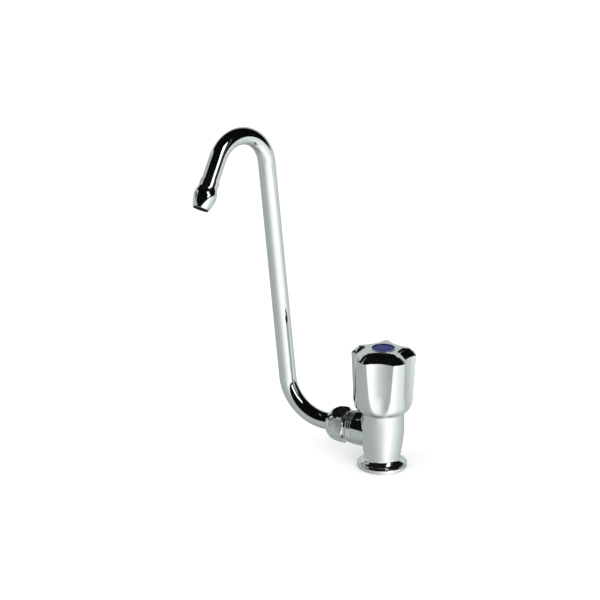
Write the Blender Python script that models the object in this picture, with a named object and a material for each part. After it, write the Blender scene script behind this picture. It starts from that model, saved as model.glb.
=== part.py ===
"""Folding swivel spout tap with a screw-down valve, in metres, +Z up.

The origin is the centre of the flange's underside, on the body's axis. The side outlet runs along
-X and the spout's lower bend turns up in the XZ plane, while its hook turns towards -Y. Pieces of
the outlet and the spout are modelled along their own +Z, which the outlet empty points along -X.
"""

import math

import bmesh
import bpy
from mathutils import Matrix, Vector

# Fits between pieces
SEAT_GAP = 0.0003
RUN_GAP = 0.0003
RING_GAP = 0.0002
EDGE_BREAK = 0.0003
OVERSHOOT = 0.001

# Facets
BODY_FACETS = 56
SPOUT_FACETS = 20
SMALL_FACETS = 24
BEND_STEP = math.radians(7.5)
ARC_STEPS = 6

# Turned body
BODY_HEIGHT = 0.0409
BODY_TOP_RADIUS = 0.0146
BELLY_RADIUS = 0.0151
BELLY_HEIGHT = 0.0290
NECK_RADIUS = 0.0125
NECK_HEIGHT = 0.0080
BELLY_POWER = 1.7
FLANGE_RADIUS = 0.0174
FLANGE_RIM_HEIGHT = 0.0030
FLANGE_RIM_ROUND = 0.0008
FLANGE_LAND = 0.0009

# Waterway of the body
INLET_RADIUS = 0.0079
INLET_DEPTH = 0.0105
INLET_CHAMFER = 0.0008
SEAT_BORE_RADIUS = 0.0046
SEAT_HEIGHT = 0.0185
SEAT_LIP_WIDTH = 0.0010
SEAT_LIP_HEIGHT = 0.0018
CHAMBER_STEP = 0.0011
PORT_RADIUS = 0.0048

# Rubber ring under the flange
BASE_SEAL_WIDTH = 0.0032
BASE_SEAL_THICKNESS = 0.0013
BASE_SEAL_LAND = 0.0028

# Side outlet
OUTLET_HEIGHT = 0.0245
STUB_RADIUS = 0.0121
STUB_REACH = 0.0199
BEAD_WIDTH = 0.0016
BEAD_GROOVE = 0.0004
BEAD_STEP = 0.0003
SPIGOT_LENGTH = 0.0076
SPIGOT_WALL = 0.0017
THREAD_GAP = 0.0003
THREAD_RELIEF = 0.0012

# Spout ferrule and its seals
RING_SECTION = 0.0014
FERRULE_WALL = 0.0010
FERRULE_SLEEVE = 0.0102
FERRULE_BORE_RADIUS = 0.0044
FERRULE_COLLAR_WIDTH = 0.0018
FERRULE_COLLAR_STEP = 0.0016
FERRULE_RING_LAND = 0.0013
SOLDER_DEPTH = 0.0040
SLIP_WASHER_THICKNESS = 0.0008

# Union nut
NUT_LENGTH = 0.0173
NUT_WALL = 0.0015
NUT_COLLAR_WIDTH = 0.0016
NUT_COLLAR_CUT = 0.0005
NUT_CORNER_CHAMFER = 0.0018
NUT_DOME_LENGTH = 0.0114
NUT_NOSE_WALL = 0.0007
NUT_CORNER_ANGLE = math.radians(-47.0)

# Bent spout tube
TUBE_RADIUS = 0.0060
TUBE_WALL = 0.0010
TUBE_RUN = 0.0442
LOWER_BEND_RADIUS = 0.0309
LOWER_BEND_ANGLE = math.radians(84.0)
RISER_LENGTH = 0.1548
HOOK_RADIUS = 0.0234
HOOK_ANGLE = math.radians(147.5)
HOOK_TURN = math.radians(72.0)
LEG_LENGTH = 0.0233

# Nozzle and its insert
NOZZLE_LENGTH = 0.0198
NOZZLE_SOCKET_DEPTH = 0.0080
NOZZLE_LIP_WALL = 0.0003
NOZZLE_BULGE_STEP = 0.0019
NOZZLE_TAPER_LENGTH = 0.0076
NOZZLE_BULGE_ROUND = 0.0028
NOZZLE_BORE_RADIUS = 0.0050
NOZZLE_MOUTH_WALL = 0.0009
INSERT_LENGTH = 0.0070
INSERT_WALL = 0.0008
INSERT_LIP_WIDTH = 0.0007
INSERT_LIP_HEIGHT = 0.0006
INSERT_RIB = 0.0007

# Headwork
GASKET_THICKNESS = 0.0010
GASKET_WIDTH = 0.0020
BONNET_THREAD_LENGTH = 0.0115
BONNET_THREAD_WALL = 0.0021
BONNET_HEX_HEIGHT = 0.0065
BONNET_HEX_STEP = 0.0005
BONNET_HEX_CHAMFER = 0.0008
BONNET_STEP = 0.0014
BONNET_NECK_WALL = 0.0013
SEAL_LAND = 0.0015

# Valve carrier
CARRIER_HALF_FLATS = 0.0065
CARRIER_CORNER_CUT = 0.0003
CARRIER_HEX_LENGTH = 0.0105
CARRIER_FLOOR = 0.0008
CARRIER_STEM_RADIUS = 0.0046
CARRIER_DISC_THICKNESS = 0.0020
CARRIER_DISC_CUT = 0.0001
SEAT_WASHER_THICKNESS = 0.0030
SEAT_WASHER_OVERLAP = 0.0007
WASHER_SCREW_RADIUS = 0.0015
WASHER_SCREW_HEAD_STEP = 0.0016
WASHER_SCREW_HEAD_HEIGHT = 0.0013
WASHER_SCREW_REACH = 0.0060

# Spindle: one and a half turns lift the carrier by one and a half pitches
THREAD_PITCH = 0.0025
OPENING_TURNS = 1.5
STOP_GAP = 0.00035
SPINDLE_THREAD_RADIUS = 0.0036
SPINDLE_RADIUS = 0.0046
SPINDLE_COLLAR_STEP = 0.0014
SPINDLE_COLLAR_THICKNESS = 0.0024
THRUST_WASHER_THICKNESS = 0.0008
CIRCLIP_THICKNESS = 0.0010
CIRCLIP_WIDTH = 0.0024
CIRCLIP_GROOVE_DEPTH = 0.0007
CIRCLIP_OPENING = math.radians(70.0)
SPINDLE_SHOULDER = 0.0005
SPLINE_TEETH = 20
SPLINE_RADIUS = 0.0040
SPLINE_DEPTH = 0.0005
SPINDLE_HOLE_DEPTH = 0.0090
SPINDLE_FOOT_CHAMFER = 0.0005

# Handle screw
HANDLE_SCREW_RADIUS = 0.0020
HANDLE_SCREW_HEAD_STEP = 0.0015
HANDLE_SCREW_HEAD_HEIGHT = 0.0022
HANDLE_SCREW_REACH = 0.0075
SCREW_SLOT_WIDTH = 0.0009
SCREW_SLOT_DEPTH = 0.0010

# Knob
KNOB_SEAM_GAP = 0.0005
KNOB_HEIGHT = 0.0446
KNOB_RADIUS = 0.0225
KNOB_LOWER_RADIUS = 0.0200
KNOB_FOOT_ROUND = 0.0056
KNOB_RIM_WALL = 0.0019
KNOB_HEX_CLEARANCE = 0.0010
KNOB_LOBES = 5
KNOB_LOBE_ANGLE = math.radians(182.6)
FLUTE_DEPTH = 0.0042
FLUTE_FOOT_STEP = 0.0009
FLUTE_ARC_RADIUS = 0.0162
FLUTE_STEPS = 8
LOBE_STEPS = 4
BEVEL_WIDTH = 0.0043
BEVEL_HEIGHT = 0.0040
CROWN_RISE = 0.0010
KNOB_WALL = 0.0022
KNOB_TOP_THICKNESS = 0.0045
KNOB_RIM_DEPTH = 0.0022
KNOB_WEB_THICKNESS = 0.0031
KNOB_BOSS_WALL = 0.0024
WELL_RADIUS = 0.0070
WELL_DEPTH = 0.0090
WELL_WALL = 0.0020

# Index disc
INDEX_LEDGE = 0.0006
INDEX_THICKNESS = 0.0016
INDEX_DOME = 0.0004
INDEX_SKIRT_DEPTH = 0.0022
INDEX_SKIRT_WALL = 0.0009
INDEX_LIP_WIDTH = 0.0008
INDEX_LIP_HEIGHT = 0.0003

# Worked out: valve, from the body's top and the seat
HEX_CORNER = 1.0 / math.cos(math.radians(30.0))
LIFT = THREAD_PITCH * OPENING_TURNS
GASKET_BOTTOM = BODY_HEIGHT + SEAT_GAP
BONNET_SHOULDER = GASKET_BOTTOM + GASKET_THICKNESS + SEAT_GAP
BONNET_FOOT = BONNET_SHOULDER - BONNET_THREAD_LENGTH
BONNET_HEX_TOP = BONNET_SHOULDER + BONNET_HEX_HEIGHT
GUIDE_CEILING = BONNET_HEX_TOP - BONNET_STEP
CARRIER_TOP = GUIDE_CEILING - STOP_GAP - LIFT
CARRIER_HEX_BOTTOM = CARRIER_TOP - CARRIER_HEX_LENGTH
CARRIER_BORE_FLOOR = CARRIER_HEX_BOTTOM + CARRIER_FLOOR
SEAT_WASHER_BOTTOM = SEAT_HEIGHT + SEAT_GAP
CARRIER_DISC_BOTTOM = SEAT_WASHER_BOTTOM + SEAT_WASHER_THICKNESS + SEAT_GAP
CARRIER_DISC_TOP = CARRIER_DISC_BOTTOM + CARRIER_DISC_THICKNESS
SPINDLE_FOOT = CARRIER_BORE_FLOOR + LIFT + STOP_GAP
COLLAR_BOTTOM = GUIDE_CEILING + RUN_GAP
COLLAR_TOP = COLLAR_BOTTOM + SPINDLE_COLLAR_THICKNESS
THRUST_WASHER_BOTTOM = COLLAR_TOP + RUN_GAP
BONNET_THRUST_FACE = THRUST_WASHER_BOTTOM + THRUST_WASHER_THICKNESS + RUN_GAP
RING_GROOVE = RING_SECTION + 2 * RING_GAP
LOWER_GROOVE_BOTTOM = BONNET_THRUST_FACE + SEAL_LAND
UPPER_GROOVE_BOTTOM = LOWER_GROOVE_BOTTOM + RING_GROOVE + SEAL_LAND
BONNET_TOP = UPPER_GROOVE_BOTTOM + RING_GROOVE + SEAL_LAND
CIRCLIP_BOTTOM = BONNET_TOP + RUN_GAP
CIRCLIP_TOP = CIRCLIP_BOTTOM + CIRCLIP_THICKNESS
SPLINE_BOTTOM = CIRCLIP_TOP + SEAT_GAP + SPINDLE_SHOULDER

# Worked out: valve radii, from the spindle outwards
SPINDLE_BORE = SPINDLE_RADIUS + RUN_GAP
SPINDLE_GROOVE_RADIUS = SPINDLE_BORE - RING_GROOVE
COLLAR_RADIUS = SPINDLE_RADIUS + SPINDLE_COLLAR_STEP
COLLAR_BORE = COLLAR_RADIUS + RUN_GAP
BONNET_NECK_RADIUS = COLLAR_BORE + BONNET_NECK_WALL
GUIDE_HALF_FLATS = CARRIER_HALF_FLATS + RUN_GAP
BONNET_THREAD_RADIUS = GUIDE_HALF_FLATS * HEX_CORNER + BONNET_THREAD_WALL
BONNET_BORE = BONNET_THREAD_RADIUS + THREAD_GAP
BONNET_HALF_FLATS = BONNET_THREAD_RADIUS + BONNET_HEX_STEP
BONNET_CORNER = BONNET_HALF_FLATS * HEX_CORNER
CHAMBER_RADIUS = BONNET_BORE - CHAMBER_STEP
SEAT_LIP_RADIUS = SEAT_BORE_RADIUS + SEAT_LIP_WIDTH
SEAT_WASHER_RADIUS = SEAT_LIP_RADIUS + SEAT_WASHER_OVERLAP

# Worked out: knob
KNOB_BOTTOM = BODY_HEIGHT + KNOB_SEAM_GAP
KNOB_SHOULDER = KNOB_BOTTOM + KNOB_HEIGHT
BEVEL_BOTTOM = KNOB_SHOULDER - BEVEL_HEIGHT
KNOB_CROWN = KNOB_SHOULDER + CROWN_RISE
KNOB_OPENING = BONNET_CORNER + KNOB_HEX_CLEARANCE
KNOB_FOOT_RADIUS = KNOB_OPENING + KNOB_RIM_WALL
WEB_TOP = KNOB_SHOULDER - WELL_DEPTH
SOCKET_CEILING = WEB_TOP - KNOB_WEB_THICKNESS
SPINDLE_TOP = SOCKET_CEILING - SEAT_GAP
KNOB_BOSS_BOTTOM = SPLINE_BOTTOM + SEAT_GAP
CAVITY_TOP = KNOB_SHOULDER - KNOB_TOP_THICKNESS
INDEX_RADIUS = WELL_RADIUS + INDEX_LEDGE
INDEX_RECESS_RADIUS = INDEX_RADIUS + SEAT_GAP
INDEX_LEDGE_HEIGHT = KNOB_CROWN - INDEX_THICKNESS - SEAT_GAP
CROWN_RADIUS = INDEX_RECESS_RADIUS + INDEX_LIP_WIDTH
HANDLE_SCREW_HOLE = HANDLE_SCREW_RADIUS + SEAT_GAP

# Worked out: union, along the outlet from the body's axis
BEADS_END = STUB_REACH + 2 * (BEAD_GROOVE + BEAD_WIDTH)
SPIGOT_END = BEADS_END + SPIGOT_LENGTH
INNER_WASHER_START = SPIGOT_END + RUN_GAP
COLLAR_START = INNER_WASHER_START + SLIP_WASHER_THICKNESS + RUN_GAP
COLLAR_END = COLLAR_START + FERRULE_COLLAR_WIDTH
OUTER_WASHER_START = COLLAR_END + RUN_GAP
NUT_SHOULDER = OUTER_WASHER_START + SLIP_WASHER_THICKNESS + SEAT_GAP
NUT_START = BEADS_END + SEAT_GAP
NUT_END = NUT_START + NUT_LENGTH
TUBE_START = COLLAR_END - SOLDER_DEPTH
SLEEVE_START = SPIGOT_END - FERRULE_SLEEVE
OUTLET_BORE_FLOOR = SLEEVE_START - RUN_GAP
SLEEVE_RADIUS = TUBE_RADIUS + SEAT_GAP + FERRULE_WALL
OUTLET_BORE = SLEEVE_RADIUS + RUN_GAP
SPIGOT_RADIUS = OUTLET_BORE + SPIGOT_WALL
NUT_THREAD_RADIUS = SPIGOT_RADIUS + THREAD_GAP
NUT_HALF_FLATS = NUT_THREAD_RADIUS + NUT_WALL
FERRULE_COLLAR_RADIUS = SLEEVE_RADIUS + FERRULE_COLLAR_STEP
FERRULE_GROOVE_RADIUS = OUTLET_BORE - RING_GROOVE

# Worked out: nozzle, from its mouth back along the leg
NOZZLE_SOCKET_RADIUS = TUBE_RADIUS + SEAT_GAP
NOZZLE_MOUTH_RADIUS = NOZZLE_BORE_RADIUS + NOZZLE_MOUTH_WALL
NOZZLE_BULGE_RADIUS = TUBE_RADIUS + NOZZLE_BULGE_STEP
NOZZLE_OVERHANG = NOZZLE_LENGTH - NOZZLE_SOCKET_DEPTH + SEAT_GAP

# Finishes: base colour, metallic and roughness
CHROME = ((0.80, 0.82, 0.82), 1.0, 0.07)
BRASS = ((0.76, 0.56, 0.28), 1.0, 0.30)
STEEL = ((0.60, 0.60, 0.61), 1.0, 0.25)
BLACK_RUBBER = ((0.02, 0.02, 0.02), 0.0, 0.65)
WHITE_PLASTIC = ((0.82, 0.82, 0.79), 0.0, 0.40)
BLACK_PLASTIC = ((0.02, 0.02, 0.02), 0.0, 0.35)
BLUE_PLASTIC = ((0.03, 0.03, 0.28), 0.0, 0.25)
RED_FIBRE = ((0.42, 0.12, 0.08), 0.0, 0.75)


def clear_scene():
    """Remove every object that the scene starts with."""
    for old in list(bpy.data.objects):
        bpy.data.objects.remove(old, do_unlink=True)


def finish_of(name, finish):
    """One material for one piece, from a base colour, a metallic value and a roughness."""
    colour, metallic, roughness = finish
    material = bpy.data.materials.new(name + "_finish")
    material.use_nodes = True
    shader = material.node_tree.nodes["Principled BSDF"]
    shader.inputs["Base Color"].default_value = (*colour, 1.0)
    shader.inputs["Metallic"].default_value = metallic
    shader.inputs["Roughness"].default_value = roughness
    return material


def placed(name, bm, finish, parent=None):
    """Turn a bmesh into a smooth-shaded object with its own finish."""
    mesh = bpy.data.meshes.new(name)
    bm.to_mesh(mesh)
    bm.free()
    mesh.shade_smooth()
    mesh.set_sharp_from_angle(angle=math.radians(30.0))
    obj = bpy.data.objects.new(name, mesh)
    bpy.context.scene.collection.objects.link(obj)
    obj.parent = parent
    if finish is not None:
        mesh.materials.append(finish_of(name, finish))
    return obj


def empty(name, place=(0.0, 0.0, 0.0), turn=(0.0, 0.0, 0.0)):
    """An axis that pieces are parented to."""
    axis = bpy.data.objects.new(name, None)
    bpy.context.scene.collection.objects.link(axis)
    axis.location = place
    axis.rotation_euler = turn
    return axis


def cutter(name, bm, parent=None):
    """A helper solid that only shapes another piece."""
    obj = placed(name, bm, None, parent)
    obj.hide_render = True
    obj.display_type = "WIRE"
    return obj


def combine(target, tool, operation):
    """Cut, join or intersect the target with a helper solid."""
    modifier = target.modifiers.new(operation.lower() + "_" + tool.name, "BOOLEAN")
    modifier.operation = operation
    modifier.solver = "EXACT"
    modifier.object = tool


def closed_up(bm):
    """Merge the points that meet and turn every face outwards."""
    bmesh.ops.remove_doubles(bm, verts=bm.verts, dist=1e-7)
    bmesh.ops.dissolve_degenerate(bm, edges=bm.edges, dist=1e-7)
    bmesh.ops.recalc_face_normals(bm, faces=bm.faces)
    return bm


def turned(profile, facets):
    """Spin a closed outline of (radius, height) points about Z."""
    bm = bmesh.new()
    points = [bm.verts.new((radius, 0.0, height)) for radius, height in profile]
    edges = []
    for first, second in zip(points, points[1:] + points[:1]):
        if first.co.x > 0.0 or second.co.x > 0.0:
            edges.append(bm.edges.new((first, second)))
    bmesh.ops.spin(
        bm,
        geom=points + edges,
        cent=(0.0, 0.0, 0.0),
        axis=(0.0, 0.0, 1.0),
        angle=math.tau,
        steps=facets,
        use_merge=True,
    )
    return closed_up(bm)


def ring_outline(inner, outer, bottom, thickness):
    """The outline of a flat ring or tube, with its outer edges broken."""
    top = bottom + thickness
    edge = min(EDGE_BREAK, thickness / 4, (outer - inner) / 4)
    return [
        (inner, bottom),
        (outer - edge, bottom),
        (outer, bottom + edge),
        (outer, top - edge),
        (outer - edge, top),
        (inner, top),
    ]


def arc(centre, radius, start, stop, steps):
    """Points of an arc in the (radius, height) plane, from one angle to the other."""
    angles = [start + (stop - start) * step / steps for step in range(steps + 1)]
    return [(centre[0] + radius * math.cos(a), centre[1] + radius * math.sin(a)) for a in angles]


def o_ring(name, groove_radius, groove_start, parent):
    """A rubber ring of round section, centred in its groove."""
    section = RING_SECTION / 2
    centre = (groove_radius + RING_GAP + section, groove_start + RING_GAP + section)
    outline = arc(centre, section, 0.0, math.tau, 8)[:-1]
    return placed(name, turned(outline, SMALL_FACETS), BLACK_RUBBER, parent)


def hexagon(half_flats, bottom, height, corner_angle=0.0):
    """A six-sided prism about Z, with one corner at the given angle."""
    bm = bmesh.new()
    bmesh.ops.create_cone(
        bm,
        cap_ends=True,
        segments=6,
        radius1=half_flats * HEX_CORNER,
        radius2=half_flats * HEX_CORNER,
        depth=height,
        matrix=Matrix.Translation((0.0, 0.0, bottom + height / 2)),
    )
    # The primitive's first corner may lie off +X, so the turn is measured from where it is
    first = max(bm.verts, key=lambda point: (round(point.co.x, 6), point.co.y)).co
    turn = corner_angle - math.atan2(first.y, first.x)
    bmesh.ops.rotate(bm, verts=bm.verts, cent=(0.0, 0.0, 0.0), matrix=Matrix.Rotation(turn, 3, "Z"))
    return closed_up(bm)


def prism(outline, bottom, height):
    """Extrude a closed plan outline of (x, y) points along Z."""
    bm = bmesh.new()
    face = bm.faces.new([bm.verts.new((x, y, bottom)) for x, y in outline])
    raised = bmesh.ops.extrude_face_region(bm, geom=[face])["geom"]
    points = [item for item in raised if isinstance(item, bmesh.types.BMVert)]
    bmesh.ops.translate(bm, verts=points, vec=(0.0, 0.0, height))
    return closed_up(bm)


def block(size, centre):
    """A plain box of the given size and centre."""
    bm = bmesh.new()
    bmesh.ops.create_cube(bm, size=1.0, matrix=Matrix.Translation(centre) @ Matrix.Diagonal((*size, 1.0)))
    return bm


def loft(rings):
    """Skin a stack of outlines with equal point counts and cap both ends."""
    bm = bmesh.new()
    loops = [[bm.verts.new(point) for point in ring] for ring in rings]
    for lower, upper in zip(loops, loops[1:]):
        count = len(lower)
        for index in range(count):
            after = (index + 1) % count
            bm.faces.new((lower[index], lower[after], upper[after], upper[index]))
    bm.faces.new(loops[0])
    bm.faces.new(loops[-1])
    return closed_up(bm)


# Body


def body_side():
    """The turned body's outer outline, from the top of the neck flare to the top face."""
    points = []
    for step in range(1, ARC_STEPS + 1):
        height = NECK_HEIGHT + (BELLY_HEIGHT - NECK_HEIGHT) * step / ARC_STEPS
        fall = ((BELLY_HEIGHT - height) / (BELLY_HEIGHT - NECK_HEIGHT)) ** BELLY_POWER
        points.append((BELLY_RADIUS - (BELLY_RADIUS - NECK_RADIUS) * fall, height))
    for step in (1, 2, 3):
        share = step / 3
        height = BELLY_HEIGHT + (BODY_HEIGHT - EDGE_BREAK - BELLY_HEIGHT) * share
        points.append((BELLY_RADIUS - (BELLY_RADIUS - BODY_TOP_RADIUS) * share**2, height))
    points.append((BODY_TOP_RADIUS - EDGE_BREAK, BODY_HEIGHT))
    return points


def flange_side():
    """The flange's rounded rim and the hollow flare that rises from it to the neck."""
    rim = arc((FLANGE_RADIUS - FLANGE_RIM_ROUND, FLANGE_RIM_ROUND), FLANGE_RIM_ROUND, -math.pi / 2, 0.0, 3)
    top = FLANGE_RIM_HEIGHT - FLANGE_RIM_ROUND
    rim += arc((FLANGE_RADIUS - FLANGE_RIM_ROUND, top), FLANGE_RIM_ROUND, 0.0, math.pi / 2, 3)
    flare_radius = FLANGE_RADIUS - FLANGE_LAND
    reach = flare_radius - NECK_RADIUS
    drop = NECK_HEIGHT - FLANGE_RIM_HEIGHT
    flare = []
    for step in range(ARC_STEPS + 1):
        angle = math.pi / 2 * (1 - step / ARC_STEPS)
        flare.append((flare_radius - reach * math.cos(angle), NECK_HEIGHT - drop * math.sin(angle)))
    return rim + flare


def waterway():
    """The bore through the body: inlet socket, seat with its raised lip, chamber and bonnet bore."""
    floor = SEAT_HEIGHT - SEAT_LIP_HEIGHT
    inlet_cone = INLET_RADIUS - SEAT_BORE_RADIUS
    outline = [
        (0.0, -OVERSHOOT),
        (INLET_RADIUS + INLET_CHAMFER + OVERSHOOT, -OVERSHOOT),
        (INLET_RADIUS, INLET_CHAMFER),
        (INLET_RADIUS, INLET_DEPTH),
        (SEAT_BORE_RADIUS, INLET_DEPTH + inlet_cone / 2),
        (SEAT_BORE_RADIUS, SEAT_HEIGHT),
        (SEAT_LIP_RADIUS, SEAT_HEIGHT),
        (SEAT_LIP_RADIUS + EDGE_BREAK, floor),
        (CHAMBER_RADIUS, floor),
        (CHAMBER_RADIUS, BONNET_FOOT - SEAT_GAP - CHAMBER_STEP),
        (BONNET_BORE, BONNET_FOOT - SEAT_GAP),
        (BONNET_BORE, BODY_HEIGHT - EDGE_BREAK),
        (BONNET_BORE + EDGE_BREAK + OVERSHOOT, BODY_HEIGHT + OVERSHOOT),
        (0.0, BODY_HEIGHT + OVERSHOOT),
    ]
    return turned(outline, SMALL_FACETS + 8)


def stub_and_spigot():
    """The side outlet: plain stub, two turned beads and the threaded spigot."""
    outline = [(0.0, 0.0), (STUB_RADIUS, 0.0), (STUB_RADIUS, STUB_REACH - EDGE_BREAK)]
    outline.append((STUB_RADIUS - EDGE_BREAK, STUB_REACH))
    bead_radius = STUB_RADIUS
    start = STUB_REACH
    for _ in range(2):
        bead_radius -= BEAD_STEP
        outline.append((bead_radius - BEAD_GROOVE, start + EDGE_BREAK / 2))
        start += BEAD_GROOVE
        outline.append((bead_radius, start + EDGE_BREAK))
        start += BEAD_WIDTH
        outline.append((bead_radius, start - EDGE_BREAK))
        outline.append((bead_radius - EDGE_BREAK, start))
    outline += [
        (SPIGOT_RADIUS - THREAD_GAP, start),
        (SPIGOT_RADIUS - THREAD_GAP, start + THREAD_RELIEF),
        (SPIGOT_RADIUS, start + THREAD_RELIEF + THREAD_GAP),
        (SPIGOT_RADIUS, SPIGOT_END - 2 * EDGE_BREAK),
        (SPIGOT_RADIUS - 2 * EDGE_BREAK, SPIGOT_END),
        (0.0, SPIGOT_END),
    ]
    return turned(outline, BODY_FACETS - 16)


def outlet_bores():
    """The port from the chamber and the seal bore that the spout's ferrule turns in."""
    outline = [
        (0.0, CHAMBER_RADIUS - 2 * OVERSHOOT),
        (PORT_RADIUS, CHAMBER_RADIUS - 2 * OVERSHOOT),
        (PORT_RADIUS, OUTLET_BORE_FLOOR),
        (OUTLET_BORE, OUTLET_BORE_FLOOR),
        (OUTLET_BORE, SPIGOT_END - EDGE_BREAK),
        (OUTLET_BORE + EDGE_BREAK + OVERSHOOT, SPIGOT_END + OVERSHOOT),
        (0.0, SPIGOT_END + OVERSHOOT),
    ]
    return turned(outline, SMALL_FACETS + 4)


def room_over_body():
    """The room over the body's faced top, which the outlet stub must not stand up into."""
    bottom = BODY_HEIGHT + EDGE_BREAK / 2
    top = BODY_HEIGHT + 2 * STUB_RADIUS
    reach = KNOB_RADIUS + RUN_GAP
    return turned([(0.0, bottom), (reach, bottom), (reach, top), (0.0, top)], SMALL_FACETS)


def base_seal_radii():
    """Inner and outer radius of the rubber ring under the flange."""
    inner = INLET_RADIUS + BASE_SEAL_LAND
    return inner, inner + BASE_SEAL_WIDTH


def make_body(outlet):
    """The cast and turned body with its flange, waterway and side outlet, and the ring below it."""
    outline = [(0.0, 0.0)] + flange_side() + body_side() + [(0.0, BODY_HEIGHT)]
    body = placed("valve_body", turned(outline, BODY_FACETS), CHROME)
    combine(body, cutter("stub_helper", stub_and_spigot(), outlet), "UNION")
    combine(body, cutter("knob_room_helper", room_over_body()), "DIFFERENCE")
    combine(body, cutter("waterway_helper", waterway()), "DIFFERENCE")
    combine(body, cutter("outlet_helper", outlet_bores(), outlet), "DIFFERENCE")
    inner, outer = base_seal_radii()
    recess_depth = BASE_SEAL_THICKNESS + SEAT_GAP
    recess = [
        (inner - SEAT_GAP, -OVERSHOOT),
        (outer + SEAT_GAP, -OVERSHOOT),
        (outer + SEAT_GAP, recess_depth),
        (inner - SEAT_GAP, recess_depth),
    ]
    combine(body, cutter("seal_recess_helper", turned(recess, SMALL_FACETS + 16)), "DIFFERENCE")
    seal = ring_outline(inner, outer, 0.0, BASE_SEAL_THICKNESS)
    placed("base_seal", turned(seal, SMALL_FACETS + 16), BLACK_RUBBER)


# Headwork


def make_bonnet():
    """The headwork barrel, screwed into the body, and its fibre gasket."""
    chamfer = BONNET_CORNER - BONNET_HALF_FLATS + BONNET_HEX_CHAMFER
    outline = [
        (0.0, BONNET_FOOT),
        (BONNET_THREAD_RADIUS - 2 * EDGE_BREAK, BONNET_FOOT),
        (BONNET_THREAD_RADIUS, BONNET_FOOT + 2 * EDGE_BREAK),
        (BONNET_THREAD_RADIUS, BONNET_SHOULDER - THREAD_RELIEF),
        (BONNET_THREAD_RADIUS - THREAD_GAP, BONNET_SHOULDER - THREAD_RELIEF + THREAD_GAP),
        (BONNET_THREAD_RADIUS - THREAD_GAP, BONNET_SHOULDER),
        (BONNET_CORNER - chamfer, BONNET_SHOULDER),
        (BONNET_CORNER, BONNET_SHOULDER + chamfer / 2),
        (BONNET_CORNER, BONNET_HEX_TOP - chamfer / 2),
        (BONNET_CORNER - chamfer, BONNET_HEX_TOP),
        (BONNET_NECK_RADIUS, BONNET_HEX_TOP),
        (BONNET_NECK_RADIUS, BONNET_TOP - 2 * EDGE_BREAK),
        (BONNET_NECK_RADIUS - 2 * EDGE_BREAK, BONNET_TOP),
        (0.0, BONNET_TOP),
    ]
    bonnet = placed("bonnet", turned(outline, BODY_FACETS - 20), BRASS)
    length = BONNET_TOP - BONNET_FOOT
    flats = hexagon(BONNET_HALF_FLATS, BONNET_FOOT - OVERSHOOT, length + 2 * OVERSHOOT)
    combine(bonnet, cutter("bonnet_flats_helper", flats), "INTERSECT")
    guide_height = GUIDE_CEILING - BONNET_FOOT + OVERSHOOT
    guide = hexagon(GUIDE_HALF_FLATS, BONNET_FOOT - OVERSHOOT, guide_height)
    combine(bonnet, cutter("carrier_guide_helper", guide), "DIFFERENCE")
    bore = [
        (0.0, GUIDE_CEILING - OVERSHOOT),
        (COLLAR_BORE, GUIDE_CEILING - OVERSHOOT),
        (COLLAR_BORE, BONNET_THRUST_FACE),
        (SPINDLE_BORE, BONNET_THRUST_FACE),
        (SPINDLE_BORE, BONNET_TOP + OVERSHOOT),
        (0.0, BONNET_TOP + OVERSHOOT),
    ]
    combine(bonnet, cutter("spindle_bore_helper", turned(bore, SMALL_FACETS)), "DIFFERENCE")
    inner = BONNET_BORE + EDGE_BREAK
    gasket = ring_outline(inner, inner + GASKET_WIDTH, GASKET_BOTTOM, GASKET_THICKNESS)
    placed("bonnet_gasket", turned(gasket, SMALL_FACETS + 8), RED_FIBRE)


def spline_outline(radius):
    """Plan outline of the splines, whose tips lie at the given radius."""
    points = []
    for tooth in range(SPLINE_TEETH):
        for share, depth in ((0.0, SPLINE_DEPTH), (0.30, SPLINE_DEPTH), (0.45, 0.0), (0.85, 0.0)):
            angle = math.tau * (tooth + share) / SPLINE_TEETH
            points.append(((radius - depth) * math.cos(angle), (radius - depth) * math.sin(angle)))
    return points


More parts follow.
